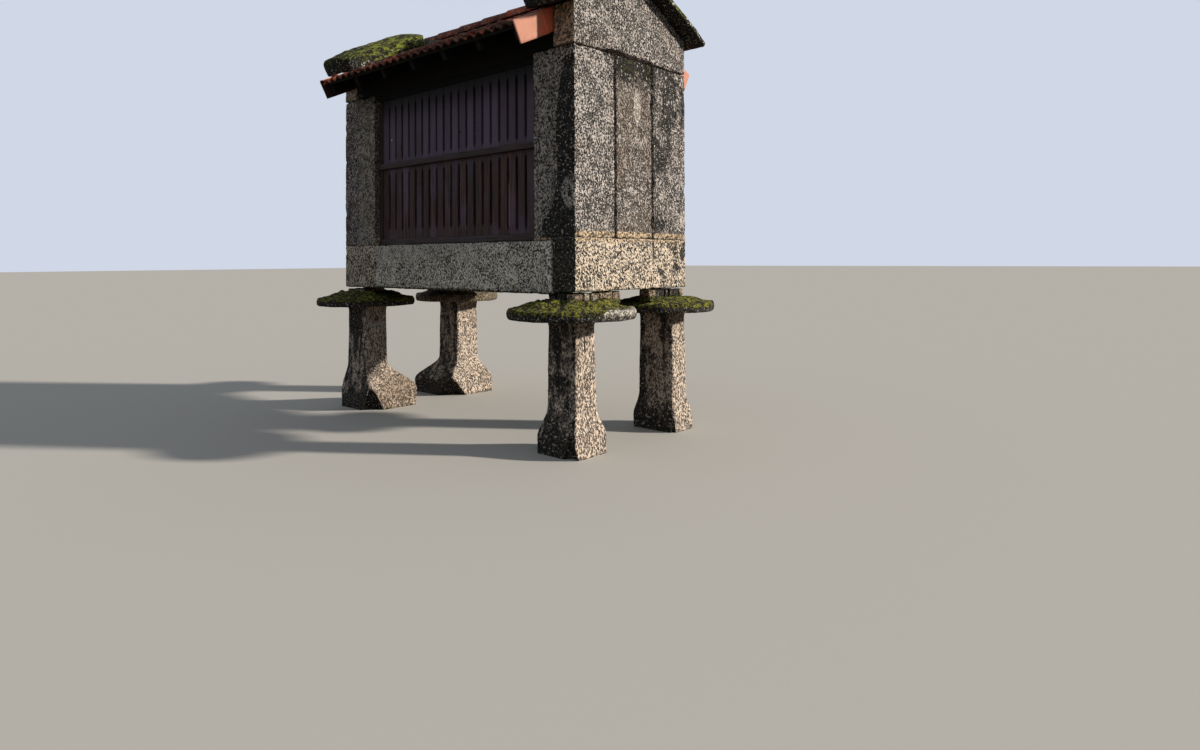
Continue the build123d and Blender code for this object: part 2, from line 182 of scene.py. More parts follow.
def block_surface(low, high, spacing, edge):
    """Vertices, quads, normals and distances to the nearest edge of a box with rounded edges."""
    lines = [grid_lines(low[a], high[a], spacing, edge) for a in range(3)]
    counts = [len(line) for line in lines]
    keep = np.zeros(counts, bool)
    sides = []
    for axis in range(3):
        for end in (0, counts[axis] - 1):
            picks = [slice(None)] * 3
            picks[axis] = end
            keep[tuple(picks)] = True
            sides.append((tuple(picks), (end != 0) == (axis != 1)))
    where = np.argwhere(keep)
    index = np.full(counts, -1)
    index[keep] = np.arange(len(where))
    points = np.stack([lines[a][where[:, a]] for a in range(3)], axis=1)
    faces = [quads(index[picks])[:, ::1 if outward else -1] for picks, outward in sides]
    low = np.asarray(low)
    high = np.asarray(high)
    core = np.clip(points, low + edge, high - edge)
    lean = points - core
    normals = lean / np.linalg.norm(lean, axis=1, keepdims=True)
    edge_distance = np.sort(np.minimum(points - low, high - points), axis=1)[:, 1]
    return core + normals * edge, np.concatenate(faces), normals, edge_distance


def hew(points, normals, edge_distance, low, high, seed, relief, chips):
    """A dressed stone's surface: gentle waves, small pits and knocked-off edges, all inside the block."""
    wave = layered(points, 0.34, 3, seed)
    pits = layered(points, 0.05, 2, seed + 5)
    depth = relief * (0.9 - 0.7 * wave - 0.25 * pits)
    ragged = smooth_step(0.0, 0.55, layered(points, 0.11, 3, seed + 9)) * np.exp(-edge_distance / 0.022)
    nibbles = smooth_step(0.0, 0.6, layered(points, 0.035, 2, seed + 11)) * np.exp(-edge_distance / 0.010)
    inward = np.clip(points, np.asarray(low) + 0.05, np.asarray(high) - 0.05) - points
    inward = inward / np.maximum(np.linalg.norm(inward, axis=1, keepdims=True), 1e-6)
    return points - normals * depth[:, None] + inward * (chips * (ragged + 0.75 * nibbles))[:, None]


def stone_block(name, low, high, material, node, paint, seed, spacing=STONE_SPACING, edge=STONE_EDGE,
                relief=STONE_RELIEF, chips=CHIP_DEPTH, warp=None):
    """A block of hewn stone between two corners. Warp bends it, and paint changes its masks."""
    points, faces, normals, edge_distance = block_surface(low, high, spacing, edge)
    points = hew(points, normals, edge_distance, low, high, seed, relief, chips)
    if warp:
        points = warp(points)
    masks = plain_masks(points, seed)
    if paint:
        paint(masks, node, points, normals, seed)
    make_object(name, points, faces, material, masks, node, seed)


# Materials

def linear(red, green, blue):
    """A screen colour, 0 to 255, as the shader's linear colour."""
    def channel(value):
        value = value / 255
        return value / 12.92 if value <= 0.04045 else ((value + 0.055) / 1.055) ** 2.4
    return (channel(red), channel(green), channel(blue), 1)


def scaled(colour, factor):
    return tuple(min(255, channel * factor) for channel in colour)


class Value:
    """The output of a material's node, which can be added to, subtracted from and multiplied."""

    def __init__(self, nodes, socket):
        self.nodes = nodes
        self.socket = socket

    def __add__(self, other):
        return self.nodes.math("ADD", self, other)

    def __sub__(self, other):
        return self.nodes.math("SUBTRACT", self, other)

    def __mul__(self, other):
        return self.nodes.math("MULTIPLY", self, other)


class Nodes:
    """Short names for building one material. Its colour grows by one coat after another."""

    def __init__(self, name):
        self.material = bpy.data.materials.new(name)
        self.material.use_nodes = True
        self.tree = self.material.node_tree
        self.shader = self.tree.nodes["Principled BSDF"]
        self.colour = None

    def put(self, value, socket):
        """Set a socket to a number or a screen colour, or link it to another node's output."""
        if isinstance(value, Value):
            self.tree.links.new(value.socket, socket)
        else:
            socket.default_value = linear(*value) if isinstance(value, tuple) else value

    def new(self, kind, inputs, output, **settings):
        """Add a node, fill its inputs and give one of its outputs."""
        node = self.tree.nodes.new("ShaderNode" + kind)
        for key, value in settings.items():
            setattr(node, key, value)
        for key, value in inputs.items():
            self.put(value, node.inputs[key])
        return Value(self, node.outputs[output])

    def attribute(self, name, output="Fac"):
        return self.new("Attribute", {}, output, attribute_name=name)

    def place(self, stretch=(1, 1, 1), turn=(0, 0, 0)):
        """The piece's own coordinates, turned and then stretched by these factors."""
        own = self.attribute("place", "Vector")
        inputs = {"Vector": own, "Scale": Vector(stretch), "Rotation": Vector(turn)}
        return self.new("Mapping", inputs, "Vector", vector_type="TEXTURE")

    def noise(self, vector, scale, detail=3.0, rough=0.55):
        inputs = {"Vector": vector, "Scale": scale, "Detail": detail, "Roughness": rough}
        return self.new("TexNoise", inputs, "Fac")

    def range(self, value, low, high, to_low=0.0, to_high=1.0):
        inputs = {"Value": value, "From Min": low, "From Max": high, "To Min": to_low, "To Max": to_high}
        return self.new("MapRange", inputs, "Result", interpolation_type="SMOOTHSTEP")

    def math(self, operation, first, second):
        return self.new("Math", {0: first, 1: second}, 0, operation=operation)

    def mix(self, factor, first, second):
        return self.new("Mix", {0: factor, 6: first, 7: second}, 2, data_type="RGBA")

    def coat(self, cover, colour):
        """Cover the colour so far with another one, by a share from 0 to 1."""
        self.colour = self.mix(cover, self.colour, colour)

    def mask(self, name, edge_noise, low, high, strength=0.8):
        """A painted mask with its edge broken up by noise."""
        return self.range(self.attribute(name) + edge_noise * strength, low, high)

    def finish(self, height, relief, roughness):
        bump = self.new("Bump", {"Height": height, "Distance": relief}, "Normal")
        for name, value in (("Base Color", self.colour), ("Normal", bump), ("Roughness", roughness)):
            self.put(value, self.shader.inputs[name])
        return self.material


PECK_SCALE = 64
PECK_RELIEF = 0.011


def granite(name, body, warm, lean=0.25, stretch=1.25, contrast=0.95, lichen=0.5, moss_colour=(118, 122, 34),
            moss_stretch=1.0, fill=0.0, peck_scale=PECK_SCALE, mortar_colour=(206, 188, 148), bright=1.95):
    """Rough dressed granite: pecked relief with painted shade in its pits and painted light on its ridges,
    mineral grains, lichen, dark film and painted shade, mortar and moss.
    """
    n = Nodes(name)
    plain = n.place()
    n.colour = n.mix(n.range(n.noise(plain, 2.2, 4), 0.35, 0.65), body, warm)
    fine = n.noise(plain, 150, 2, 0.6)
    peck = n.noise(n.place((1, 1, stretch), (lean, lean, 0)), peck_scale, 2.5, 0.55)
    peck = peck + (fine - 0.5) * 0.22 + (n.noise(plain, 9, 6, 0.75) - 0.5) * 0.42 + fill
    pits = n.range(peck, 0.502, 0.486)
    ridges = n.range(peck, 0.518, 0.534)
    # Painted shade and light: the peck pits, the low points of the relief, turn almost black and its ridges
    # pale, over the stone's own speckle.
    n.coat(pits * contrast, scaled(body, 0.05))
    n.coat(ridges * 0.95, scaled(body, bright))
    grains = n.new("TexVoronoi", {"Vector": plain, "Scale": 230}, "Color")
    for channel, strength, mineral in ((0, 0.6, (240, 234, 226)), (1, 0.7, (30, 28, 26))):
        grain = n.new("SeparateColor", {0: grains}, channel)
        n.coat(n.range(grain, 0.78, 0.92, 0, strength), mineral)
    lichen_patch = n.range(n.noise(plain, 3.4, 3), 0.50, 0.64, 0, lichen)
    n.coat(n.range(n.noise(plain, 34, 3, 0.6), 0.56, 0.64) * lichen_patch, (196, 200, 190))
    edge_noise = n.noise(plain, 17, 6, 0.72)
    n.coat(n.mask("brown", edge_noise, 0.55, 1.1) * 0.6, (98, 76, 52))
    pale = n.mask("pale", edge_noise, 0.85, 1.05) * 0.75
    n.coat(pale * n.range(peck, 0.40, 0.50), (216, 208, 194))
    n.coat(n.mask("pale", edge_noise, 1.35, 1.50), n.mix(pits, (206, 198, 186), (150, 140, 128)))
    # The dark mask's near-black coat is real dark film on some stones and painted shade on others: in the
    # joints and hollows, under the eave and on undersides.
    film_and_shade = n.mix(ridges, (2, 2, 1), (34, 30, 24))
    flecks = n.range(n.noise(plain, 52, 3, 0.6), 0.61, 0.63)
    n.coat(n.mask("dark", edge_noise, 0.74, 0.98, 0.9) * 0.93, n.mix(flecks, film_and_shade, (216, 208, 190)))
    mortar = n.mask("mortar", edge_noise, 0.85, 0.95, 0.9)
    sand = n.range(n.noise(plain, 46, 4, 0.7), 0.43, 0.56)
    n.coat(mortar, n.mix(sand, scaled(mortar_colour, 0.28), mortar_colour))
    tufts = n.noise(n.place((1, moss_stretch, 1)), 66, 4, 0.72)
    clumps = n.noise(n.place((1, moss_stretch, 1)), 28, 4, 0.65)
    moss = n.mask("moss", n.noise(plain, 21, 6, 0.74), 0.74, 0.90)
    green = n.mix(n.range(tufts + clumps, 0.94, 1.10), (7, 9, 3), moss_colour)
    n.coat(moss, n.mix(n.range(n.noise(plain, 9, 4, 0.65), 0.50, 0.68, 0, 0.7), green, (44, 42, 22)))
    height = n.range(peck, 0.36, 0.62) * (mortar * -0.7 + 1.0) + fine * 0.25
    return n.finish(height + (tufts + clumps * 1.5) * moss * 1.8, PECK_RELIEF, 0.93)


def timber(name, brown, black, sheen, gloss=0.62):
    """Old stained boards: grain along the piece, raised fibres, small checks, weathered patches with a
    painted reflection of the sky, and painted shade under the roof.
    """
    n = Nodes(name)
    grain = n.noise(n.place((26, 1, 1)), 84, 4, 0.62)
    fibre = n.noise(n.place((40, 1, 1)), 300, 3, 0.6)
    checks = n.range(n.noise(n.place((60, 1, 1)), 240, 2), 0.66, 0.74)
    n.colour = n.mix(n.range(grain, 0.36, 0.64), black, brown)
    # Weathered patches take the sheen colour, and the sheen attribute adds more of it on the upper panel: a
    # painted reflection of the sky.
    weather_and_reflection = n.noise(n.place(), 2.1, 3) + n.attribute("sheen") * 0.28
    n.coat(n.range(weather_and_reflection, 0.45, 0.75, 0, 0.75), sheen)
    n.coat(checks * 0.7, (10, 8, 7))
    n.coat(n.range(n.attribute("tone"), 0, 1, 0, 0.55), scaled(brown, 0.5))
    # Painted shade under the eave: the boards darken towards the top of the walls.
    n.coat(n.range(n.attribute("height"), wall_top - 0.38, wall_top - 0.08, 0, 0.92), (6, 5, 5))
    return n.finish(grain + fibre * 0.5 - checks, 0.0022, gloss)


def clay(name, body, deep, pale, lichen, soot_and_shade):
    """Fired clay tiles: each tile its own tone, with lichen and dark film on old ones, and painted shade
    where the dark mask is high.
    """
    n = Nodes(name)
    plain = n.place()
    n.colour = n.mix(n.range(n.attribute("tone"), 0.1, 0.9), body, deep)
    n.coat(n.range(n.noise(plain, 14, 4), 0.45, 0.7, 0, 0.5), pale)
    film_and_shade = n.noise(plain, 9, 6, 0.7) + n.attribute("dark") * 0.5
    n.coat(n.range(film_and_shade, 0.48, 0.68, 0, soot_and_shade), (30, 24, 19))
    lichen_patch = n.range(n.noise(plain, 5, 3), 0.40, 0.6, 0, lichen)
    n.coat(n.range(n.noise(plain, 60, 3, 0.6), 0.56, 0.66) * lichen_patch, (190, 178, 140))
    # Painted shade: where the dark mask passes 1, on the undersides, the clay turns near black.
    n.coat(n.mask("dark", n.noise(plain, 15, 4), 1.0, 1.2) * 0.92, (16, 14, 12))
    moss = n.mask("moss", n.noise(plain, 26, 5, 0.7), 0.78, 0.96)
    n.coat(moss, n.mix(n.range(n.noise(plain, 90, 4, 0.7), 0.4, 0.65), (24, 26, 10), (84, 84, 34)))
    return n.finish(n.noise(plain, 180, 3) + moss * 1.8, 0.0026, 0.85)


SAND = (216, 190, 156)
pillar_stone = granite("pillar_granite", (152, 137, 122), (138, 121, 102), 0.1, 1.6, 0.70, fill=0.028,
                       bright=1.54)
cap_stone = granite("cap_granite", (116, 108, 92), (90, 82, 66), lichen=0.8, moss_colour=(152, 150, 42))
packing_stone = granite("packing_granite", (142, 120, 92), (108, 88, 64), contrast=0.55, lichen=0.1,
                        fill=0.02, peck_scale=80, bright=1.3)
sill_stone = granite("sill_granite", (188, 182, 167), (178, 170, 152), 0.35, 1.2, 1.0, 0.8, fill=0.038,
                     peck_scale=72, mortar_colour=(255, 250, 236), bright=1.34)
end_sill_stone = granite("end_sill_granite", (126, 115, 101), (121, 108, 91), 0.5, 1.6, 1.0, 0.3, fill=0.028,
                         mortar_colour=SAND, bright=1.87)
wall_stone = granite("wall_granite", (76, 72, 69), (72, 66, 59), 0.14, 1.3, fill=-0.008,
                     moss_colour=(92, 90, 42), mortar_colour=SAND, bright=2.72)
roof_stone = granite("roof_granite", (84, 84, 76), (58, 58, 50), lichen=0.95, moss_colour=(142, 150, 46),
                     moss_stretch=2.6)
floor_stone = granite("floor_granite", (130, 122, 110), (108, 98, 84))
slat_timber = timber("slat_timber", (104, 70, 62), (30, 19, 18), (110, 96, 122))
frame_timber = timber("frame_timber", (78, 58, 54), (36, 26, 25), (80, 70, 80))
eave_timber = timber("eave_timber", (56, 55, 53), (32, 31, 30), (62, 62, 60), 0.85)
# Near black: the timbers under the roof and the top rail carry painted shade under the eave.
roof_timber = timber("roof_timber", (10, 8, 7), (4, 3, 3), (9, 8, 7), 0.9)
old_clay = clay("old_clay", (204, 90, 54), (138, 56, 38), (228, 160, 124), 0.95, 0.70)
# The new clay's deep colour is painted bounced light on the front right flange, in the kneeler's shadow.
new_clay = clay("new_clay", (200, 140, 117), (255, 126, 90), (212, 152, 126), 0.05, 0.12)


# Masks on the stones

def plain_masks(points, seed):
    """The masks that every stone has: broad dark film, some pale lichen and nothing else."""
    return {"dark": 0.10 + 0.28 * smooth_step(0.1, 0.6, layered(points, 0.5, 3, seed + 40)),
            "brown": 0.25 + 0.3 * layered(points, 0.4, 2, seed + 42),
            "pale": 0.2 * smooth_step(0.2, 0.7, layered(points, 0.3, 3, seed + 41)),
            "moss": np.zeros(len(points)),
            "mortar": np.zeros(len(points))}


def patch(points, centre, reach, seed, ragged=0.35):
    """1 at a centre, fading to 0 at a ragged outline about `reach` away along each axis."""
    distance = np.linalg.norm((points - np.array(centre)) / np.array(reach), axis=1)
    return np.clip(1.5 - distance + ragged * layered(points, 0.12, 3, seed), 0, 1)


def facing(normals, axis, direction):
    return smooth_step(0.45, 0.85, normals[:, axis] * direction)


def near_top(z, far, near):
    """0 at `far` below the top of the walls, 1 at `near` below it."""
    return smooth_step(wall_top - far, wall_top - near, z)


def roof_plane(y):
    """Height of the roof's top plane."""
    return ridge_z - np.abs(y) * pitch_tan


STAIN_TOP = wall_top - 0.06
STAIN_HEIGHTS = (0.05, 0.15, 0.26, 0.50, 0.90, 1.25, 1.45, 1.56)
STAIN_WIDTHS = (0.40, 0.37, 0.26, 0.21, 0.22, 0.18, 0.13, 0.09)
PALE_PLACE = (half_length - 0.065, -half_width, sill_top + 0.36)
PALE_REACH = (0.10, 9, 0.14)
PALE_HOLE = (0.022, 9, 0.045)
# Places and depths of the hollow under the gable: they raise the right gable's underside, and painted shade
# fills the top of the end slabs below.
WEDGE_PLACES = (-0.44, -0.30, 0.24, 0.42)
WEDGE_DEPTHS = (0.0, 0.032, 0.014, 0.004)
ARRIS_HIGHLIGHT = 0.013
JOINT_SHADE = 0.012


def corner_stain(points, normals):
    """The black run-off that follows the front right corner and spreads at its foot."""
    ragged = 0.035 * layered(points * np.array([1, 1, 0.6]), 0.11, 4, 7)
    width = np.interp(points[:, 2] - sill_top, STAIN_HEIGHTS, STAIN_WIDTHS)
    reach = smooth_step(-0.03, 0.06, points[:, 0] + ragged - half_length + width)
    pale_round = patch(points, PALE_PLACE, PALE_REACH, 3) - patch(points, PALE_PLACE, PALE_HOLE, 4, 0.2)
    below = fade_out(STAIN_TOP - 0.06, STAIN_TOP, points[:, 2])
    return (reach - 1.2 * pale_round) * facing(normals, 1, -1) * below


def joint_edges(masks, points, out, low, high):
    """Painted highlights on the arrises that face the sun, painted shade on the arrises beside the joints,
    and painted shade in the hollow under the gable.
    """
    y = points[:, 1]
    wavy = y + 0.008 * layered(points, 0.12, 3, 23)
    arris_highlight = (high.y < half_width - 0.01) * smooth_step(high.y - ARRIS_HIGHLIGHT, high.y - 0.5 * ARRIS_HIGHLIGHT, wavy)
    arris_shade = (low.y > 0.01 - half_width) * fade_out(low.y + 0.5 * JOINT_SHADE, low.y + JOINT_SHADE, wavy)
    hollow = smooth_step(-0.012, 0.0, points[:, 2] - wall_top + np.interp(y, WEDGE_PLACES, WEDGE_DEPTHS))
    # Painted highlight on the sunward arrises, and painted shade beside the joints and in the gable's hollow.
    masks["pale"] += 0.9 * out * arris_highlight
    masks["dark"] = masks["dark"] * (1 - arris_highlight) + 1.1 * out * np.maximum(arris_shade, hollow)


def wall_paint(masks, node, points, normals, seed):
    """Mortar and painted shade under the eave on every stone of the walls, and the marks that some of them
    have.
    """
    y, z = points.T[1:]
    out = facing(normals, 0, 1)
    front = facing(normals, 1, -1)
    joint = np.abs(z - sill_top) + 0.012 * layered(points, 0.06, 3, 12)
    masks["mortar"] = 0.68 * out * fade_out(0.030, 0.080, joint)
    # Painted shade under the eave: the front and back faces darken towards the top of the walls.
    masks["dark"] += 0.12 * near_top(z, 0.45, 0.05) * (front + facing(normals, 1, 1))
    if node.startswith("end_slab"):
        joint_edges(masks, points, out, *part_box(node))
    foot = out * fade_out(0.0, 0.05, z - sill_top + 0.04 * layered(points, 0.09, 3, 15))
    masks["mortar"] = np.maximum(masks["mortar"], 0.58 * foot)
    masks["dark"] += 0.9 * foot * smooth_step(0.25, 0.6, layered(points, 0.07, 2, 16))
    if node in ("end_slab_right_front", "jamb_front_right"):
        masks["dark"] = np.maximum(masks["dark"], 1.1 * corner_stain(points, normals))
        masks["pale"] += 0.6 * front * patch(points, PALE_PLACE, PALE_REACH, 3)
    if node.startswith(("jamb", "gable")):
        masks["pale"] += 0.55 * front
    if node == "jamb_front_right":
        masks["mortar"] = 0.6 * front * fade_out(0.0, 0.05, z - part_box("sill_front")[1].z)
    if node == "end_slab_right_middle":
        blotches = out * (1 + 0.8 * layered(points, 0.10, 3, 18))
        masks["dark"] += 0.62 * blotches * near_top(z, 0.42, 0.04)
        masks["moss"] = 0.42 * blotches * near_top(z, 0.30, 0.05)
        masks["pale"] += 1.9 * out * patch(points, (half_length, 0.04, wall_top - 0.4), (9, 0.036, 0.14), 5)
        masks["brown"] += 0.2
    if node == "end_slab_right_back":
        upper = near_top(z, 0.62, 0.42) * smooth_step(0.38, 0.48, y)
        blotches = layered(points, 0.07, 3, 19)
        side = smooth_step(0.50, 0.60, y + 0.05 * layered(points, 0.3, 3, 20))
        cloudy = 0.8 + 0.8 * layered(points, 0.2, 3, 22)
        masks["dark"] += out * (0.55 * upper * (0.6 + 1.6 * blotches) + 0.40 * (1 - side) * cloudy)
        masks["pale"] += out * (0.75 * upper * smooth_step(0.0, 0.5, -blotches) + 0.45 * side * (1 - upper))
    if node == "jamb_front_left":
        masks["moss"] = 0.4 * near_top(z, 0.5, 0.0)
        masks["brown"] += 0.3
    if node.startswith("gable"):
        masks["brown"] += 0.25 * front
        masks["pale"] += 0.35 * out
        # Painted shade in a band just under the roof slabs; the front face drops the rest of the dark.
        masks["dark"] = masks["dark"] * (1 - front) + 0.3 * fade_out(0.0, 0.10, roof_plane(y) - z)
        masks["mortar"] = 0.50 * front


def sill_paint(masks, node, points, normals, seed):
    """Moss under every sill, and the mortar, film and lichen of the right end's and the front's."""
    x, y, z = points.T
    low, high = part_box(node)
    out = facing(normals, 0, 1)
    front = facing(normals, 1, -1)
    masks["moss"] = 0.45 * fade_out(low.z, low.z + 0.07, z)
    masks["brown"] *= 0.5
    if node == "sill_right":
        top_edge = smooth_step(high.z - 0.065, high.z - 0.020, z + 0.03 * layered(points, 0.06, 3, 4))
        strip = front * fade_out(low.x + 0.002, low.x + 0.03, x + 0.01 * layered(points, 0.08, 2, 8))
        masks["mortar"] = 0.62 * out * top_edge + 0.65 * strip
        cracks = smooth_step(0.2, 0.5, layered(points, 0.05, 3, 24))
        cracks *= smooth_step(high.z - 0.06, high.z - 0.02, z)
        joint_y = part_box("end_slab_right_back")[0].y
        run_off = patch(points, (high.x, joint_y, high.z), (9, 0.022, 0.22), 6)
        blotches = smooth_step(0.0, 0.5, layered(points, 0.10, 3, 9)) * smooth_step(0.1, 0.45, y)
        masks["dark"] = 0.5 * masks["dark"] + 1.1 * front + 0.6 * out * run_off
        masks["dark"] += out * (0.4 * cracks + 0.4 * blotches + 0.2 * smooth_step(0.2, 0.4, y))
        masks["dark"] *= 1 - 0.8 * strip
        masks["pale"] += 0.30 * out * fade_out(0.1, 0.4, y)
    if node == "sill_front":
        lean = 0.09 * smooth_step(high.z - 0.16, high.z, z) - 0.03 * fade_out(low.z, low.z + 0.2, z)
        edge_x = x + lean + 0.02 * layered(points, 0.08, 2, 8)
        strip = front * smooth_step(high.x - 0.075, high.x - 0.045, edge_x)
        masks["mortar"] = 0.72 * strip
        masks["dark"] += 0.34 * front * fade_out(low.z, high.z - 0.1, z) - 0.3 * strip - 0.22
        masks["moss"] += 0.08 * front
        upper_left = fade_out(-0.5, 1.0, x) * smooth_step(high.z - 0.22, high.z - 0.08, z)
        masks["pale"] += 0.45 * front * (1 + upper_left)


# Stonework

GABLE_LEVEL = 0.35


def gable_warp(points):
    """Raise the top of a level block to the roof's two slopes."""
    warped = points.copy()
    rise = (points[:, 2] - wall_top) / GABLE_LEVEL
    warped[:, 2] = wall_top + rise * (roof_plane(points[:, 1]) - wall_top)
    hollow = np.interp(points[:, 1], WEDGE_PLACES, WEDGE_DEPTHS) * (points[:, 0] > 0)
    warped[:, 2] += hollow * fade_out(0.0, 0.2, rise)
    return warped


def bedded_stone(node, material, paint, left=0.0, right=0.0, down=0.0, up=0.0):
    """The stone of a node, run a little into its neighbours so that no joint stands open."""
    low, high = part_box(node)
    corner = (low.x - left, low.y, low.z - down)
    other = (high.x + right, high.y, high.z + up)
    stone_block("stone_" + node, corner, other, material, node, paint, seeds[node])


def stonework():
    for end_name, other_end in (("right", "left"), ("left", "right")):
        for part in ("front", "middle", "back"):
            inward = {other_end: 0.0 if part == "middle" else JOINT_OVERLAP}
            bedded_stone(f"end_slab_{end_name}_{part}", wall_stone, wall_paint, down=BEDDING, **inward)
        outward = {end_name: JOINT_OVERLAP}
        for side_name in SIDES:
            node = f"jamb_{side_name}_{end_name}"
            bedded_stone(node, wall_stone, wall_paint, down=BEDDING, up=BEDDING, **outward)
        node = f"gable_{end_name}"
        low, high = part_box(node)
        level = (high.x, high.y, wall_top + GABLE_LEVEL)
        stone_block("stone_" + node, low, level, wall_stone, node, wall_paint, seeds[node], warp=gable_warp)
        bedded_stone(f"sill_{end_name}", end_sill_stone, sill_paint)
    for side_name in SIDES:
        bedded_stone(f"sill_{side_name}", sill_stone, sill_paint, left=BEDDING, right=BEDDING)


stonework()


# Pillars

SHAFT_SIZES = {"front_right": (0.366, 0.294), "front_left": (0.394, 0.316),
               "back_right": (0.434, 0.262), "back_left": (0.398, 0.352)}
FOOT_HEIGHTS = {"front_right": 0.38, "front_left": 0.50, "back_right": 0.34, "back_left": 0.43}
SHOULDER_HEIGHTS = {"front_right": 0.19, "front_left": 0.25, "back_right": 0.15, "back_left": 0.21}
SHAFT_TAPER = 0.028
SHAFT_ROUND = 0.034
COLLAR_HEIGHT = 0.07
COLLAR_SWELL = 0.014
SCOOP_RISE = 1.35
SCOOP_SHIFT = {"front_right": 0.06}
SCOOP_SIZE = {"front_right": 0.75}
PILLAR_INSET_X = 0.195
PILLAR_INSETS = {"front": 0.160, "back": 0.130}
PILLAR_RINGS = 96
PILLAR_COUNT = 168
PILLAR_RELIEF = 0.007
PILLAR_PITS = 0.003
CRACK_PLACE = (1.74, -0.625, 0.905)
CRACK_REACH = (9, 0.008, 0.07)
BAND_HEIGHT = 0.83


def rectangle_ring(half):
    """Points round a rounded rectangle, with their outward normals."""
    walk = np.linspace(0, 4 * half.sum(), PILLAR_COUNT, endpoint=False)
    ring = np.empty((PILLAR_COUNT, 2))
    start = 0.0
    for corner, step in (((1, -1), (0, 1)), ((1, 1), (-1, 0)), ((-1, 1), (0, -1)), ((-1, -1), (1, 0))):
        span = 2 * abs(half @ step)
        inside = (walk >= start - 1e-9) & (walk < start + span)
        ring[inside] = half * corner + np.outer(walk[inside] - start, step)
        start += span
    core = np.clip(ring, SHAFT_ROUND - half, half - SHAFT_ROUND)
    lean = ring - core
    normal = lean / np.linalg.norm(lean, axis=1, keepdims=True)
    return core + normal * SHAFT_ROUND, normal


def tube_faces(rings, count):
    """Quads between rings of `count` points, and a fan to a centre point at either end."""
    numbers = np.arange(rings * count).reshape(rings, count)
    closed = np.hstack([numbers, numbers[:, :1]])
    bottom = rings * count
    low_fan = [(bottom, second, first) for first, second in zip(closed[0], closed[0][1:])]
    high_fan = [(bottom + 1, first, second) for first, second in zip(closed[-1], closed[-1][1:])]
    return quads(closed)[:, TURNED].tolist() + low_fan + high_fan


def close_ends(points, outward, foot_z, head_z, x, y):
    """Add the two centre points to rings of points, and move them all to their place."""
    points = np.vstack([points, [0, 0, foot_z], [0, 0, head_z]]) + (x, y, 0)
    return points, np.vstack([outward, [0, 0, -1], [0, 0, 1]])


def carve(ring, corner, radius):
    """Push the points of a ring that lie in a circle round a corner back to the circle, towards the axis."""
    inward = -ring / np.maximum(np.linalg.norm(ring, axis=1, keepdims=True), 1e-6)
    offset = ring - np.array(corner)
    along = np.sum(offset * inward, axis=1)
    away = np.sum(offset * offset, axis=1)
    step = -along + np.sqrt(np.maximum(along * along - away + radius * radius, 0))
    return ring + inward * np.where(away < radius * radius, step, 0)[:, None]


def pillar_piece(side_name, end_name):
    """A tapered shaft whose foot flares and is scooped out at the front right corner."""
    place = f"{side_name}_{end_name}"
    node = "pillar_" + place
    low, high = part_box(node)
    seed = seeds[node]
    centre_x = ENDS[end_name] * (half_length - PILLAR_INSET_X)
    centre_y = SIDES[side_name] * (half_width - PILLAR_INSETS[side_name])
    size = np.array(SHAFT_SIZES[place])
    left, front = (centre_x, centre_y) - size / 2 - np.array(low.xy)
    right, back = np.array(high.xy) - size / 2 - (centre_x, centre_y)
    shoulder = SHOULDER_HEIGHTS[place]
    collar = high.z - COLLAR_HEIGHT
    scoop_corner = (size[0] / 2 + right - SCOOP_SHIFT.get(place, 0), -size[1] / 2 - front)
    scoop = SCOOP_SIZE.get(place, 1) * math.hypot(right, front)
    points = []
    outward = []
    hollows = []
    for z in np.linspace(0, high.z, PILLAR_RINGS):
        grow = COLLAR_SWELL * smooth_step(collar, high.z, z) - SHAFT_TAPER * min(1, z / collar)
        share = fade_out(0.7 * shoulder, FOOT_HEIGHTS[place], z) * (0.95 + 0.05 * smooth_step(0, shoulder, z))
        ring, normal = rectangle_ring((size + grow + share * np.array([right + left, front + back])) / 2)
        ring += share * np.array([right - left, back - front]) / 2
        carved = carve(ring, scoop_corner, scoop * max(0.0, 1 - z / (SCOOP_RISE * shoulder)))
        hollows.append(np.linalg.norm(carved - ring, axis=1) > 0.002)
        points.append(np.column_stack([carved, np.full(PILLAR_COUNT, z)]))
        outward.append(np.column_stack([normal, np.zeros(PILLAR_COUNT)]))
    points = np.concatenate(points)
    outward = np.concatenate(outward)
    relief = PILLAR_RELIEF * (1 - layered(points, 0.26, 3, seed))
    relief += PILLAR_PITS * (1 - layered(points, 0.06, 2, seed + 3))
    points, outward = close_ends(points - outward * relief[:, None], outward, 0, high.z, centre_x, centre_y)
    z = points[:, 2]
    masks = plain_masks(points, seed)
    shade = facing(outward, 1, -1)
    streaks = layered(points * np.array([1, 1, 0.22]), 0.07, 3, seed + 8)
    hollow = np.append(np.concatenate(hollows), [False, False])
    # The front faces are darker with vertical streaks and darkest at the foot: partly a real streaked film,
    # partly painted shade on the side away from the sun.
    masks["dark"] += shade * (0.46 * (0.7 + 1.1 * streaks) + 0.55 * fade_out(0.0, 0.25, z))
    # Painted shade in the scooped hollow of the foot.
    masks["dark"] += hollow * fade_out(0.6 * shoulder, 1.1 * shoulder, z)
    masks["moss"] = 0.35 * fade_out(0.0, 0.14, z)
    # Painted light: the faces towards the sun (+X) are paler.
    masks["pale"] += 0.35 * facing(outward, 0, 1)
    if place == "front_left":
        masks["brown"] += 0.3 * fade_out(0.25, 0.45, z) * facing(outward, 0, 1)
        band = z - BAND_HEIGHT * high.z + 0.1 * (points[:, 0] - centre_x)
        masks["pale"] += 0.9 * fade_out(0.008, 0.02, np.abs(band))
    if place == "front_right":
        masks["dark"] += patch(points, CRACK_PLACE, CRACK_REACH, 4, 0.2) * facing(outward, 0, 1)
    faces = tube_faces(PILLAR_RINGS, PILLAR_COUNT)
    make_object("stone_" + node, points, faces, pillar_stone, masks, node, seed)


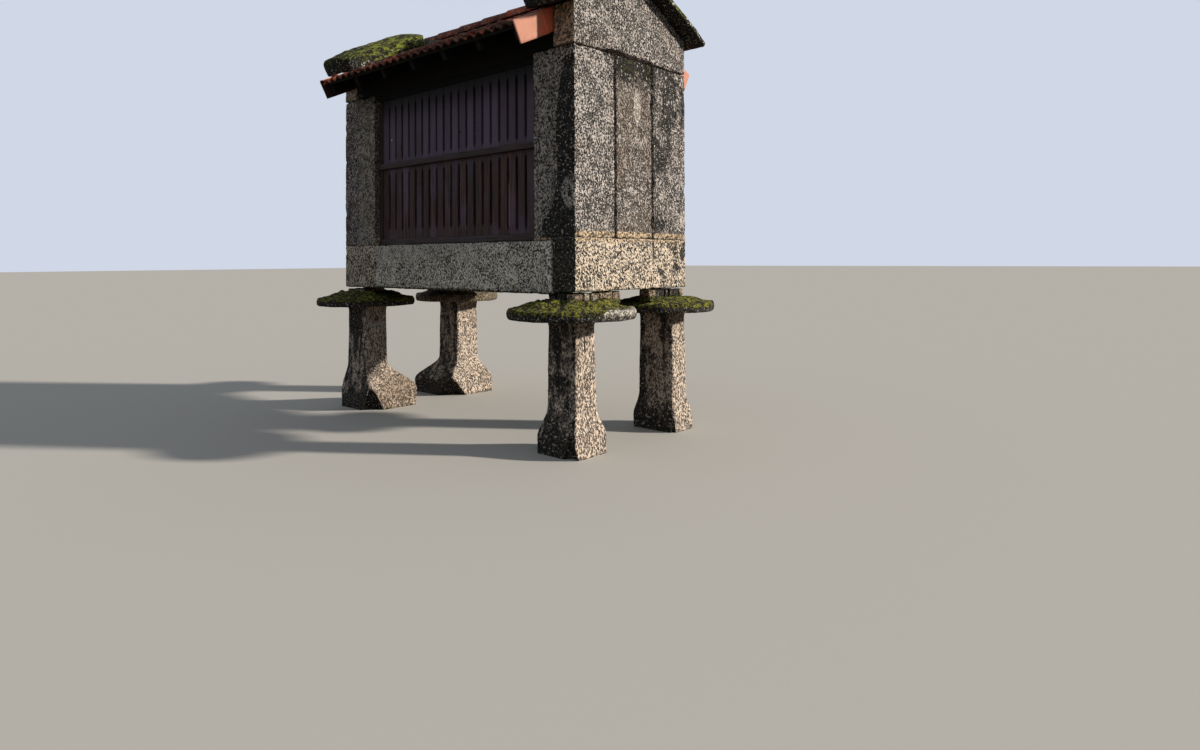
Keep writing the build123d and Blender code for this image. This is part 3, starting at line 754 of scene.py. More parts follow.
for side_name, end_name in CORNERS:
    pillar_piece(side_name, end_name)


# Mushroom caps

CAP_RIM = 0.096
CAP_SEAT = 0.45
CAP_COUNT = 260
MOSS_MOUND = 0.030
MOUND_SHARE = {"back_right": 0.1}
SUNWARD = (0.75, 0.66)


def cap_profile(rise):
    """Share of the radius, height over the underside, and outward and upward lean, from below to above."""
    profile = [(share, 0.0, 0.0, -1.0) for share in (0.2, 0.4, 0.55, 0.68, 0.78, 0.86, 0.92)]
    for turn in np.linspace(-math.pi / 2, math.pi / 2, 11):
        across = math.cos(turn)
        up = math.sin(turn)
        profile.append((0.95 + 0.05 * across, CAP_RIM / 2 * (1 + up), across, up))
    for share in np.linspace(0.93, 0.06, 34):
        profile.append((share, CAP_RIM + (rise - CAP_RIM) * fade_out(CAP_SEAT, 0.98, share), 0.0, 1.0))
    return profile


def cap_piece(place):
    """A thick disc with a rounded rim, domed above and grown over with moss."""
    node = "cap_" + place
    low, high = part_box(node)
    centre = (low + high) / 2
    radius = (high.x - low.x) / 2
    seed = seeds[node]
    angle = np.linspace(0, 2 * math.pi, CAP_COUNT, endpoint=False)
    compass = np.column_stack([np.cos(angle), np.sin(angle), np.zeros(CAP_COUNT)])
    outline = 0.985 + 0.024 * layered(compass * 1.1 + seed, 0.5, 4, seed)
    profile = cap_profile(high.z - low.z)
    points = []
    outward = []
    for share, rise, across, up in profile:
        points.append(compass * (radius * share * outline)[:, None] + (0, 0, low.z + rise))
        outward.append(compass * across + (0, 0, up))
    points = np.concatenate(points)
    outward = np.concatenate(outward)
    upward = np.clip(outward[:, 2], 0, 1)
    lumps = layered(points, 0.13, 4, seed + 2)
    tufts = layered(points, 0.035, 3, seed + 4)
    away = np.linalg.norm(points[:, :2], axis=1) / radius
    mound = MOUND_SHARE.get(place, 1) * fade_out(0.50, 0.85, away) * smooth_step(-0.5, 0.4, lumps)
    points -= outward * (0.006 * (1 - lumps))[:, None]
    points[:, 2] += upward * (0.016 * lumps + 0.010 * tufts + MOSS_MOUND * mound)
    hanging = smooth_step(0.1, 0.6, layered(points, 0.07, 3, seed + 12)) * np.abs(outward[:, 0:2]).max(axis=1)
    points[:, 2] -= 0.012 * hanging
    points, outward = close_ends(points, outward, low.z, high.z - 0.02, centre.x, centre.y)
    x, y, z = points.T
    masks = plain_masks(points, seed)
    up = outward[:, 2]
    masks["moss"] = 0.5 * smooth_step(0.15, 0.85, up) + 0.42 * smooth_step(-0.5, 0.3, up)
    masks["moss"] *= 1 + 0.75 * layered(points, 0.14, 3, seed + 6)
    masks["dark"] = 0.55 + 0.65 * fade_out(low.z + 0.015, low.z + CAP_RIM, z)
    if place == "back_left":
        masks["moss"] *= 0.2
        masks["dark"] *= 0.2
        masks["brown"] += 0.6
    if place == "front_right":
        sunward = SUNWARD[0] * (x - centre.x) + SUNWARD[1] * (y - centre.y)
        bare = smooth_step(0.20, 0.31, sunward + 0.12 * layered(points, 0.09, 3, seed + 14))
        bare *= 0.25 + 0.75 * fade_out(low.z + 0.085, low.z + 0.115, z)
        masks["moss"] *= 1 - 0.7 * bare
        masks["dark"] *= 1 - 0.55 * bare
        masks["pale"] += 0.7 * bare
    make_object("stone_" + node, points, tube_faces(len(profile), CAP_COUNT), cap_stone, masks, node, seed)


for side_name, end_name in CORNERS:
    cap_piece(f"{side_name}_{end_name}")


# Packing stones and floor

# Spacing, edge, relief and chips
RUBBLE_SURFACE = (0.014, 0.018, 0.005, 0.03)
WEDGE_SURFACE = (0.012, 0.020, 0.006, 0.03)
RUBBLE_ROWS = 3
RUBBLE_WAVER = 0.045
RUBBLE_GAP = 0.008
WEDGE_CLEAR = 0.10
FLOOR_SLABS = 4
FLOOR_GAP = 0.005
FLOOR_SPACING = 0.04
pack_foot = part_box("packing_front_right")[0].z


def rubble_paint(masks, node, points, normals, seed):
    masks["pale"] += 0.55 if seed % 4 == 0 else 0.1
    masks["moss"] = 0.12 + 0.3 * np.clip(normals[:, 2], 0, 1)
    masks["moss"] += 0.4 * fade_out(pack_foot, pack_foot + 0.05, points[:, 2])
    masks["dark"] += 0.45 if seed % 3 == 1 else 0.2
    masks["mortar"] += 0.35 if seed % 3 == 0 else 0.1


def rubble(node):
    """Rough stones side by side that fill the space of one packing node."""
    low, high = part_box(node)
    random = own_random(node)
    cuts_x, cuts_y = [np.linspace(low[axis], high[axis], RUBBLE_ROWS + 1) for axis in (0, 1)]
    for cuts in (cuts_x, cuts_y):
        cuts[1:-1] += random.uniform(-RUBBLE_WAVER, RUBBLE_WAVER, RUBBLE_ROWS - 1)
    for column in range(RUBBLE_ROWS):
        for row in range(RUBBLE_ROWS):
            gap = random.uniform(0, RUBBLE_GAP)
            corner = (cuts_x[column] + gap, cuts_y[row] + gap, low.z)
            other = (cuts_x[column + 1] - gap, cuts_y[row + 1] - gap, high.z - random.uniform(0, RUBBLE_GAP))
            stone_block(f"rubble_{node}_{column}_{row}", corner, other, packing_stone, node, rubble_paint,
                        int(random.integers(1, 9999)), *RUBBLE_SURFACE)


def wedge_stones(node, places, size, seed):
    """Loose stones wedged between a cap's moss and the underside of the end sill."""
    random = np.random.default_rng(seed)
    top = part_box("sill_right")[0].z + 0.004
    for number, y in enumerate(places):
        width, depth = random.uniform(0.8, 1.2, 2) * size
        height = top - cap_underside - WEDGE_CLEAR + random.uniform(-0.006, 0.004)
        x = half_length - 0.015 - depth - random.uniform(0, 0.02)
        low = (x, y - width / 2, top - height)
        high = (x + depth, y + width / 2, top)
        stone_block(f"wedge_{node}_{number}", low, high, packing_stone, node, rubble_paint,
                    int(random.integers(1, 9999)), *WEDGE_SURFACE)


for side_name, end_name in CORNERS:
    rubble(f"packing_{side_name}_{end_name}")
wedge_stones("packing_front_right", (-0.36, -0.21), 0.16, 31)
wedge_stones("packing_back_right", (0.28, 0.40), 0.13, 32)

floor_low, floor_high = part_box("floor_slabs")
floor_step = (floor_high.x - floor_low.x) / FLOOR_SLABS
for index in range(FLOOR_SLABS):
    left = floor_low.x + index * floor_step
    low = (left + FLOOR_GAP, floor_low.y, floor_low.z)
    high = (left + floor_step - FLOOR_GAP, floor_high.y, floor_high.z)
    stone_block(f"floor_{index}", low, high, floor_stone, "floor_slabs", None, 90 + index, FLOOR_SPACING)


# Timber

FRAME_STILE = 0.05
RAIL_HEIGHT = 0.06
MID_RAIL_BOTTOM = 2.56
MID_RAIL_PROUD = 0.022
SLOT_COUNT = 19
SLOT_HALF_WIDTH = 0.0157
BOARD_THICKNESS = 0.026
BOARD_JOINT = 0.0006
BOARD_BEVEL = 0.002
NOTCH_STEPS = 5
NOTCH_POINT = 2.6
TIMBER_SPACING = 0.06
TIMBER_EDGE = 0.004


def on_slope(points, side):
    """Turn x, distance down the slope and height over the roof's top plane into the frame's x, y, z."""
    x, down, out = points.T
    across = side * (down * pitch_cos + out * pitch_sin)
    return np.column_stack([x, across, ridge_z - down * pitch_sin + out * pitch_cos])


def timber_block(name, corner, other, along, material, node, seed, slope=None):
    """A sawn timber with soft edges and a slight waver, level or on one slope of the roof."""
    low = np.minimum(corner, other)
    high = np.maximum(corner, other)
    points, faces, normals, edge_distance = block_surface(low, high, TIMBER_SPACING, TIMBER_EDGE)
    grained = points[:, [along] + [axis for axis in range(3) if axis != along]]
    waver = layered(grained * np.array([1, 4, 4]), 0.5, 2, seed)
    wear = smooth_step(0.1, 0.6, layered(points, 0.06, 2, seed + 3)) * np.exp(-edge_distance / 0.006)
    points = points - normals * (0.0012 * (1 - waver) + 0.003 * wear)[:, None]
    tone = np.full(len(points), np.random.default_rng(seed).uniform(0, 1))
    if slope:
        points = on_slope(points, slope)
    make_object(name, points, faces, material, {"tone": tone}, node, seed, grained)


def timber_side(side_name):
    """The frame of one long side, with its two panels of slotted boards."""
    side = SIDES[side_name]
    node = f"frame_{side_name}"
    low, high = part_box(node)
    proud, back = (low.y, high.y) if side < 0 else (high.y, low.y)
    face = proud - side * MID_RAIL_PROUD
    mid_top = MID_RAIL_BOTTOM + RAIL_HEIGHT
    foot_z = low.z + RAIL_HEIGHT
    head_z = high.z - RAIL_HEIGHT
    pieces = [("bottom_rail", low.x, high.x, face, low.z, foot_z, 0),
              ("mid_rail", low.x, high.x, proud, MID_RAIL_BOTTOM, mid_top, 0),
              ("top_rail", low.x, high.x, face, head_z, high.z, 0)]
    for name, x0 in (("stile_left", low.x), ("stile_right", high.x - FRAME_STILE)):
        pieces.append((name + "_low", x0, x0 + FRAME_STILE, face, foot_z, MID_RAIL_BOTTOM, 2))
        pieces.append((name + "_high", x0, x0 + FRAME_STILE, face, mid_top, head_z, 2))
    for number, (name, x0, x1, outer, z0, z1, along) in enumerate(pieces, 11):
        # The top rail takes the near-black roof timber: painted shade under the eave.
        material = roof_timber if name == "top_rail" else frame_timber
        timber_block(f"{name}_{side_name}", (x0, outer, z0), (x1, back, z1), along, material, node, number)
    slotted_boards(side_name, side, foot_z, head_z)


def slotted_boards(side_name, side, foot_z, head_z):
    """Upright boards, each with half of a pointed slot cut in both of its edges."""
    node = f"slats_{side_name}"
    low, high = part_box(node)
    step = (high.x - low.x) / (SLOT_COUNT + 1)
    random = own_random(node)
    mesh = bmesh.new()
    layers = {"place": mesh.verts.layers.float_vector.new("place")}
    for name in ("tone", "sheen", "height"):
        layers[name] = mesh.verts.layers.float.new(name)
    foot_margins = np.where(np.arange(SLOT_COUNT) >= SLOT_COUNT - 4, 0.03, 0.08)
    # The upper panel's sheen of 1 is a painted reflection of the sky.
    panels = ((foot_z, MID_RAIL_BOTTOM, foot_margins, 0.035, 0.0),
              (MID_RAIL_BOTTOM + RAIL_HEIGHT, head_z, np.full(SLOT_COUNT, 0.028), 0.06, 1.0))
    for bottom, top, foot_margin, head_margin, sheen in panels:
        foot = bottom + foot_margin + random.uniform(-0.008, 0.008, SLOT_COUNT)
        head = top - head_margin - random.uniform(-0.006, 0.006, SLOT_COUNT)
        width = SLOT_HALF_WIDTH * random.uniform(0.85, 1.1, SLOT_COUNT)
        for board in range(SLOT_COUNT + 1):
            left = low.x + board * step
            right = left + step
            outline = [(left + BOARD_JOINT, bottom), (right - BOARD_JOINT, bottom)]
            if board < SLOT_COUNT:
                outline += notch(right, foot[board], head[board], width[board], -1)
            outline += [(right - BOARD_JOINT, top), (left + BOARD_JOINT, top)]
            if board > 0:
                outline += notch(left, foot[board - 1], head[board - 1], width[board - 1], 1)[::-1]
            sink = random.uniform(0, 0.003)
            front = low.y + sink if side < 0 else high.y - sink
            add_board(mesh, outline, front, front - side * BOARD_THICKNESS, layers, sheen, random)
    data = bpy.data.meshes.new(f"boards_{side_name}")
    mesh.to_mesh(data)
    mesh.free()
    add_piece(f"boards_{side_name}", data, slat_timber, node)


def notch(edge, foot, head, width, direction):
    """Points round half a slot, from its foot to its head, cut into a board from the edge."""
    low_end = []
    high_end = []
    for share in np.linspace(0, 1, NOTCH_STEPS):
        x = edge + direction * max(BOARD_JOINT, width * math.sin(math.pi / 2 * share))
        rise = NOTCH_POINT * width * share
        low_end.append((x, foot + rise))
        high_end.append((x, head - rise))
    return low_end + high_end[::-1]


def add_board(mesh, outline, front, back, layers, sheen, random):
    """Add one board's solid to a mesh, with worn edges and its own grain."""
    board = bmesh.new()
    face = board.faces.new([board.verts.new((x, front, z)) for x, z in outline])
    sweep = bmesh.ops.extrude_face_region(board, geom=[face])
    moved = [v for v in sweep["geom"] if isinstance(v, bmesh.types.BMVert)]
    bmesh.ops.translate(board, verts=moved, vec=(0, back - front, 0))
    bmesh.ops.recalc_face_normals(board, faces=board.faces)
    rim = [e for e in board.edges if abs(e.verts[0].co.y - e.verts[1].co.y) < 1e-6]
    bmesh.ops.bevel(board, geom=rim, offset=BOARD_BEVEL, segments=2, affect="EDGES", clamp_overlap=True)
    shift = Vector(random.uniform(-9, 9, 3))
    tone = float(random.uniform(0, 1))
    copies = {}
    for v in board.verts:
        made = mesh.verts.new(v.co)
        made[layers["place"]] = Vector((v.co.z, v.co.x, v.co.y)) + shift
        for name, value in (("tone", tone), ("sheen", sheen), ("height", v.co.z)):
            made[layers[name]] = value
        copies[v] = made
    for f in board.faces:
        mesh.faces.new([copies[v] for v in f.verts])
    board.free()


for side_name in SIDES:
    timber_side(side_name)


# Small marks on the front

STUD_SIDES = 20
STUD_PROFILE = ((1.0, 0.0), (0.92, 0.6), (0.6, 0.9), (0.2, 1.0))
HOLLOW_DEPTH = 0.0015


def plain_material(name, colour, roughness):
    n = Nodes(name)
    n.put(colour, n.shader.inputs["Base Color"])
    n.put(roughness, n.shader.inputs["Roughness"])
    return n.material


def stud(name, x, y, z, radius, depth, material, node):
    """A small domed disc on a surface that faces the front."""
    points = []
    for share, rise in STUD_PROFILE:
        for turn in np.linspace(0, 2 * math.pi, STUD_SIDES, endpoint=False):
            reach = radius * share
            points.append((x + reach * math.cos(turn), y - depth * rise, z + reach * math.sin(turn)))
    points += [(x, y, z), (x, y - depth, z)]
    make_object(name, points, tube_faces(len(STUD_PROFILE), STUD_SIDES), material, node=node)


nail_metal = plain_material("pale_nail", (236, 234, 228), 0.4)
# Near black: the knots' own colour, and painted shade for the drilled hole.
dark_hollow = plain_material("dark_hollow", (6, 5, 4), 0.95)
front_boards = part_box("slats_front")[0].y
stud("nail_head", -0.947, front_boards, 2.862, 0.010, 0.006, nail_metal, "slats_front")
stud("knot_left", -0.403, front_boards, 3.092, 0.012, HOLLOW_DEPTH, dark_hollow, "slats_front")
stud("knot_middle", 0.196, front_boards, 2.818, 0.010, HOLLOW_DEPTH, dark_hollow, "slats_front")
# A near-black disc: painted shade in the drilled hole.
stud("drilled_hole", -0.007, 0.004 - half_width, 1.682, 0.012, HOLLOW_DEPTH, dark_hollow, "sill_front")


# Roof timbers and tiles

BATTEN_TOP = 0.049
BATTEN_DEPTH = 0.025
BATTEN_WIDTH = 0.05
BATTEN_START = 0.09
RAFTER_DEPTH = 0.09
RAFTER_WIDTH = 0.06
RAFTER_START = 0.05
RAFTER_SHORTER = 0.06
RAFTERS = 7
BATTENS = 4
PLATE_WIDTH = 0.13
TILE_COLUMNS = 13
TILE_COURSES = 4
TILE_LAP = 0.06
TILE_SHELL = 0.014
TILE_WAVE = 0.030
TILE_TILT = 0.014
TILE_GRID = (25, 7)
VERGE_DEPTH = 0.196
VERGE_COVER = 0.055
VERGE_ROUND = 0.016
VERGE_START = 0.12
VERGE_STEPS = 21
VERGE_LAP = 0.006
RIDGE_RADIUS = 0.112
RIDGE_TILES = 7
RIDGE_TAPER = 0.012
RIDGE_GRID = (19, 5)
# Where the painted bounced light on the front right flange begins
RED_START = -0.917
tile_exposure = slope_length / TILE_COURSES


def roof_timbers():
    foot = slope_length - RAFTER_SHORTER
    rafter_top = -BATTEN_TOP - BATTEN_DEPTH
    last_rafter = tile_half_length - RAFTER_WIDTH
    for side_name, side in SIDES.items():
        for index, x in enumerate(np.linspace(-last_rafter, last_rafter, RAFTERS)):
            low = (x - RAFTER_WIDTH / 2, RAFTER_START, rafter_top - RAFTER_DEPTH)
            high = (x + RAFTER_WIDTH / 2, foot, rafter_top)
            name = f"rafter_{side_name}_{index}"
            timber_block(name, low, high, 1, roof_timber, "rafters", 20 + index, side)
        for index, down in enumerate(np.linspace(BATTEN_START, foot - BATTEN_WIDTH, BATTENS)):
            low = (-tile_half_length, down, rafter_top)
            high = (tile_half_length, down + BATTEN_WIDTH, -BATTEN_TOP)
            material = eave_timber if index == BATTENS - 1 else roof_timber
            timber_block(f"batten_{side_name}_{index}", low, high, 0, material, "battens", 40 + index, side)
        low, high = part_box("wall_plates")
        corner = (low.x, side * high.y, low.z)
        other = (high.x, side * (high.y - PLATE_WIDTH), high.z - PLATE_WIDTH * pitch_tan)
        timber_block(f"wall_plate_{side_name}", corner, other, 0, roof_timber, "wall_plates", 50)
    timber_block("ridge_timber", *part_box("ridge_beam"), 0, roof_timber, "ridge_beam", 52)


def shell_faces(columns, rows):
    """Quads of a closed thin shell: an upper grid, a lower grid and the rim between them."""
    upper = np.arange(columns * rows).reshape(columns, rows)
    lower = upper + upper.size
    faces = [quads(upper), quads(lower)[:, TURNED]]
    for end, across, along in ((0, TURNED, [0, 1, 2, 3]), (-1, [1, 2, 3, 0], [3, 2, 1, 0])):
        faces.append(quads(np.stack([upper[:, end], lower[:, end]], axis=1))[:, across])
        faces.append(quads(np.stack([upper[end], lower[end]], axis=1))[:, along])
    return np.concatenate(faces)


def make_shells(name, shells, faces, material, node, random, paint):
    """One mesh from thin shells (upper points, lower points, mirrored or not), each with its own tone."""
    points = np.concatenate([part for upper, lower, mirrored in shells for part in (upper, lower)])
    count = len(points) // len(shells)
    tones = []
    shifts = []
    all_faces = []
    for number, (upper, lower, mirrored) in enumerate(shells):
        all_faces.append(faces[:, ::-1 if mirrored else 1] + number * count)
        tones.append(random.uniform(0, 1))
        shifts.append(random.uniform(-3, 3, 3))
    masks = paint(points, np.tile(np.repeat([0.0, 1.0], count // 2), len(shells)))
    masks.setdefault("tone", np.repeat(tones, count))
    place = points + np.repeat(shifts, count, axis=0)
    make_object(name, points, np.concatenate(all_faces), material, masks, node, place=place)


def grid_of(first, second):
    """Every pair of the two lists, as two flat lists."""
    u, v = np.meshgrid(first, second, indexing="ij")
    return u.ravel(), v.ravel()


def tile_height(across):
    """The tile's upper face over its width, 0 to 1: two rolls between three pans."""
    wave = 0.5 - 0.5 * np.cos(4 * np.pi * across)
    return TILE_WAVE * (np.power(wave, 0.8) - 1)


def roof_tiles():
    half = tile_half_length - VERGE_COVER + TILE_SHELL
    width = 2 * half / TILE_COLUMNS
    u, v = grid_of(np.linspace(-0.05, 1.05, TILE_GRID[0]), np.linspace(0, 1, TILE_GRID[1]))
    faces = shell_faces(*TILE_GRID)
    nose = TILE_SHELL * (1 + 0.5 * smooth_step(0.9, 1.0, v))
    for side_name, side in SIDES.items():
        node = f"tiles_{side_name}"
        random = own_random(node)
        shells = []
        for column in range(TILE_COLUMNS):
            for course in range(TILE_COURSES):
                bottom = (course + 1) * tile_exposure
                top = max(RAFTER_START, course * tile_exposure - TILE_LAP)
                skew = random.uniform(-0.004, 0.004)
                x = -half + (column + u) * width + skew * v + random.uniform(-0.002, 0.002)
                down = top + (bottom - top) * v + random.uniform(-0.010, 0.0)
                lift = 0.005 * (u - 1) - TILE_TILT * (1 - v) + random.uniform(-0.003, 0)
                upper = tile_height(np.clip(u, 0, 1)) + lift
                layers = [on_slope(np.column_stack([x, down, z]), side) for z in (upper, upper - nose)]
                shells.append((*layers, side < 0))
        make_shells(f"roof_tiles_{side_name}", shells, faces, old_clay, node, random, tile_paint)


def tile_paint(points, inside):
    """Moss gathers near the stone slabs and along the eave; the undersides carry painted shade, and the tile
    ends at the left of the eave a painted highlight.
    """
    x, y = points.T[:2]
    near_ends = smooth_step(tile_half_length - 0.75, tile_half_length - 0.2, np.abs(x))
    near_eave = smooth_step(slope_length - 0.2, slope_length, np.abs(y) / pitch_cos)
    # Painted highlight on the sunlit tile ends at the left of the eave: less dark and less moss there.
    sunlit_end_highlight = fade_out(-tile_half_length, 0.45 - tile_half_length, x) * near_eave
    moss = 0.16 + 0.22 * near_ends + 0.08 * near_eave + 0.2 * layered(points, 0.2, 2, 77)
    moss *= (1 - inside) * (1 - 0.9 * sunlit_end_highlight)
    return {"moss": moss, "dark": 0.25 - 0.8 * sunlit_end_highlight + 0.9 * inside}


def ridge_capping():
    """Half-round tiles along the ridge, each lapping over the next."""
    low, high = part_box("ridge_tiles")
    length = (high.x - low.x) / RIDGE_TILES
    turn, v = grid_of(np.linspace(-1.52, 1.52, RIDGE_GRID[0]), np.linspace(0, 1, RIDGE_GRID[1]))
    radius = RIDGE_RADIUS - RIDGE_TAPER * v
    centre_z = high.z - RIDGE_RADIUS
    shells = []
    for index in range(RIDGE_TILES):
        lap = TILE_LAP / 2 if index else 0
        x = low.x + index * length - lap + (length + lap) * v
        layers = [np.column_stack([x, r * np.sin(turn), centre_z + r * np.cos(turn)]) for r in
                  (radius, radius - TILE_SHELL)]
        shells.append((*layers, False))
    make_shells("ridge_capping", shells, shell_faces(*RIDGE_GRID), old_clay, "ridge_tiles",
                own_random("ridge_tiles"), tile_paint)


def offset_path(path, distance):
    """The path moved sideways by a distance, square to its own direction."""
    direction = np.gradient(path, axis=0)
    direction = direction / np.linalg.norm(direction, axis=1, keepdims=True)
    return path + distance * np.column_stack([direction[:, 1], -direction[:, 0]])


def verge_tiles():
    """Hooded verge tiles: a hanging flange, a rounded shoulder and a narrow top over the tiles' edge."""
    turns = np.linspace(0, math.pi / 2, 5)
    shoulder = [(VERGE_ROUND * (1 - math.cos(turn)), VERGE_ROUND * (math.sin(turn) - 1)) for turn in turns]
    heights = np.linspace(-VERGE_DEPTH, -VERGE_ROUND - 0.01, 9)
    tops = np.linspace(VERGE_ROUND + 0.01, VERGE_COVER, 3)
    path = np.array([(0, height) for height in heights] + shoulder + [(inward, 0) for inward in tops])
    pick, v = grid_of(np.arange(len(path)), np.linspace(0, 1, VERGE_STEPS))
    step = VERGE_LAP * (1 - v)
    shells = []
    for side in SIDES.values():
        for end in ENDS.values():
            for course in range(TILE_COURSES):
                top = max(VERGE_START, course * tile_exposure - TILE_LAP / 2)
                down = top + ((course + 1) * tile_exposure - top) * v
                layers = []
                for inward, height in (path[pick].T, offset_path(path, TILE_SHELL)[pick].T):
                    rows = np.column_stack([end * (verge_end - inward - step), down, height - step - 0.001])
                    layers.append(on_slope(rows, side))
                shells.append((*layers, side * end < 0))
    make_shells("verge_hoods", shells, shell_faces(len(path), VERGE_STEPS), new_clay, "verge_tiles",
                own_random("verge_tiles"), verge_paint)


def verge_paint(points, inside):
    """The flanges are clean outside with painted shade inside, and redder by the front right kneeler, as
    painted bounced light in its shadow.
    """
    x, y = points.T[:2]
    # Painted bounced light: the flange turns to the deep red colour where the kneeler's shadow falls.
    redder = (x > 0) * (y < 0) * smooth_step(RED_START, RED_START + 0.02, y)
    return {"moss": np.zeros(len(points)), "dark": 1.3 * inside, "tone": 0.1 + 0.8 * redder}


# Moss on the tiles

CUSHION_SIDES = 20
CUSHION_RINGS = 9
CUSHION_SINK = -0.012
EAVE_CUSHIONS = 52
RIGHT_CUSHIONS = 44
TRAIL_NUMBER = 60


def moss_cushion(number, x, down, size, material, masks):
    """One lumpy cushion that sits on the front slope."""
    points = []
    for share in np.linspace(-0.6, 1, CUSHION_RINGS):
        ring = math.sqrt(max(0.0, 1 - share * share))
        for turn in np.linspace(0, 2 * math.pi, CUSHION_SIDES, endpoint=False):
            points.append((math.cos(turn) * ring, math.sin(turn) * ring, share))
    points = np.array(points)
    lumps = 0.3 * layered(points, 0.7, 3, 200 + number)
    points = points * (1 + lumps[:, None]) * size + (x, down, CUSHION_SINK)
    foot = (x, down, CUSHION_SINK - 0.6 * size[2])
    points = on_slope(np.vstack([points, foot, points[-CUSHION_SIDES:].mean(axis=0)]), SIDES["front"])
    values = {key: np.full(len(points), value) for key, value in masks.items()}
    faces = [face[::-1] for face in tube_faces(CUSHION_RINGS, CUSHION_SIDES)]
    make_object(f"moss_{number}", points, faces, material, values, seed=number)


def moss_cushions():
    """Dark moss in the pans of the front tiles, and green moss trailing from the far slab along the ridge."""
    random = np.random.default_rng(90)
    for number in range(EAVE_CUSHIONS):
        ends = (-0.3, tile_half_length - 0.12) if number < RIGHT_CUSHIONS else (-tile_half_length, 0)
        x = random.uniform(*ends)
        down = slope_length - abs(random.normal(0.03, 0.05)) - 0.05
        size = [random.uniform(*limits) for limits in ((0.03, 0.065), (0.035, 0.05), (0.014, 0.032))]
        moss_cushion(number, x, down, size, old_clay, {"tone": 0.7, "moss": 0.38, "dark": 0.5})
    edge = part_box("roof_slab_front_left")[1].x
    for number, share in enumerate(np.linspace(0, 1, 8)):
        down = 0.13 + random.uniform(-0.03, 0.03)
        masks = {"moss": 0.75 - 0.5 * share, "pale": 0.35 * share, "dark": 0.3, "brown": 0.6, "mortar": 0.0}
        size = (0.06, 0.06, 0.105 - 0.075 * share)
        moss_cushion(TRAIL_NUMBER + number, edge + 0.01 + 0.36 * share, down, size, roof_stone, masks)


roof_timbers()
roof_tiles()
ridge_capping()
verge_tiles()
moss_cushions()


# Stone slabs on the gables

ROOF_SLAB_EDGE = {"front": 0.120, "back": 0.055}
ROOF_SLAB_CROWN = {"front": 0.085, "back": 0.045}
ROOF_SLAB_BED = 0.036
ROOF_SLAB_LIFT = {"front_right": 0.028}
ROOF_SLAB_DROOP = {"back_right": 0.020, "back_left": 0.020}
ROOF_SLAB_TAPER = {"front": 0.12, "back": 0.0}
ROOF_SLAB_PEAK = 0.136
ROOF_SLAB_HIP = 0.18
ROOF_SLAB_ROUNDING = {"front_right": 0.07, "front_left": 0.10, "back_right": 0.0, "back_left": 0.08}
ROOF_SLAB_LONGER = 0.045
ROOF_SLAB_SPACING = 0.0145
ROOF_SLAB_SOFTNESS = 0.026
RIDGE_JOINT = 0.003
SHAG = np.array([1, 0.4, 1])


def roof_slab(side_name, end_name):
    """A crowned, mossy slab that lies on one slope over a gable and leans against its pair at the ridge."""
    place = f"{side_name}_{end_name}"
    node = "roof_slab_" + place
    side = SIDES[side_name]
    low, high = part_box(node)
    seed = seeds[node]
    middle = (low.x + high.x) / 2
    half = (high.x - low.x) / 2
    edge = ROOF_SLAB_EDGE[side_name]
    crown = ROOF_SLAB_CROWN[side_name]
    thick = edge + crown
    reach = (max(abs(low.y), abs(high.y)) - thick * pitch_sin) / pitch_cos + ROOF_SLAB_LONGER
    block = block_surface((-half, 0, 0), (half, reach, thick), ROOF_SLAB_SPACING, ROOF_SLAB_SOFTNESS)
    points, faces, normals = block[:3]
    # These three stay views of the points, so a change to one moves the points
    x, y, z = points.T
    share = x / half
    down = y.copy()
    near_end = smooth_step(reach - 0.24, reach, down)
    z *= (edge + crown * (1 - share ** 2)) / thick * (0.75 + 0.25 * smooth_step(-0.05, ROOF_SLAB_HIP, down))
    z *= 1 - ROOF_SLAB_TAPER[side_name] * near_end
    along = np.column_stack([down, np.sign(share), np.full(len(down), seed)])
    x *= 1 - 0.02 * (1 - layered(along, 0.25, 2, seed))
    y *= 1 - ROOF_SLAB_ROUNDING[place] * near_end * np.abs(share) ** 3
    lumps = layered(points, 0.17, 3, seed + 2)
    tufts = layered(points * SHAG, 0.045, 3, seed + 4)
    above = smooth_step(-0.3, 0.5, normals[:, 2])
    points += normals * (0.009 * lumps - 0.003 + 0.010 * above * tufts)[:, None]
    z[:] = np.maximum(z, 0) + ROOF_SLAB_LIFT.get(place, 0) * smooth_step(reach - 0.35, reach, down)
    z -= ROOF_SLAB_DROOP.get(place, 0) * near_end
    over_tiles = fade_out(tile_half_length - 0.05, tile_half_length + 0.02, np.abs(x + middle))
    z -= ROOF_SLAB_BED * over_tiles * fade_out(0.0, 0.02, z)
    y -= fade_out(0.0, 0.2, y) * (z * pitch_tan - RIDGE_JOINT)
    x += middle
    rise = z * pitch_cos - y * pitch_sin
    z -= np.maximum(rise - ROOF_SLAB_PEAK - 0.003 * lumps, 0) / pitch_cos
    masks = plain_masks(points, seed)
    toward_end = smooth_step(reach - 0.5, reach - 0.1, down)
    low_side = fade_out(0.02, 0.09, z)
    spots = smooth_step(0.1, 0.4, layered(points * np.array([1, 1, 0.5]), 0.05, 3, seed + 7)) * low_side
    moss = 0.60 + 0.22 * above - 0.30 * toward_end + 0.3 * layered(points * SHAG, 0.16, 3, seed + 6)
    masks["moss"] = moss * smooth_step(-0.6, 0.1, normals[:, 2]) - 0.5 * spots
    # Painted shade on the downward faces, and darker towards the lower end.
    masks["dark"] = 0.45 + 0.45 * toward_end + 0.6 * smooth_step(-0.1, -0.6, normals[:, 2]) - 0.6 * spots
    masks["pale"] = 1.3 * spots
    faces = faces[:, ::-side]
    make_object("stone_" + node, on_slope(points, side), faces, roof_stone, masks, node, seed, points)


for side_name, end_name in CORNERS:
    roof_slab(side_name, end_name)


# Floor, light and camera

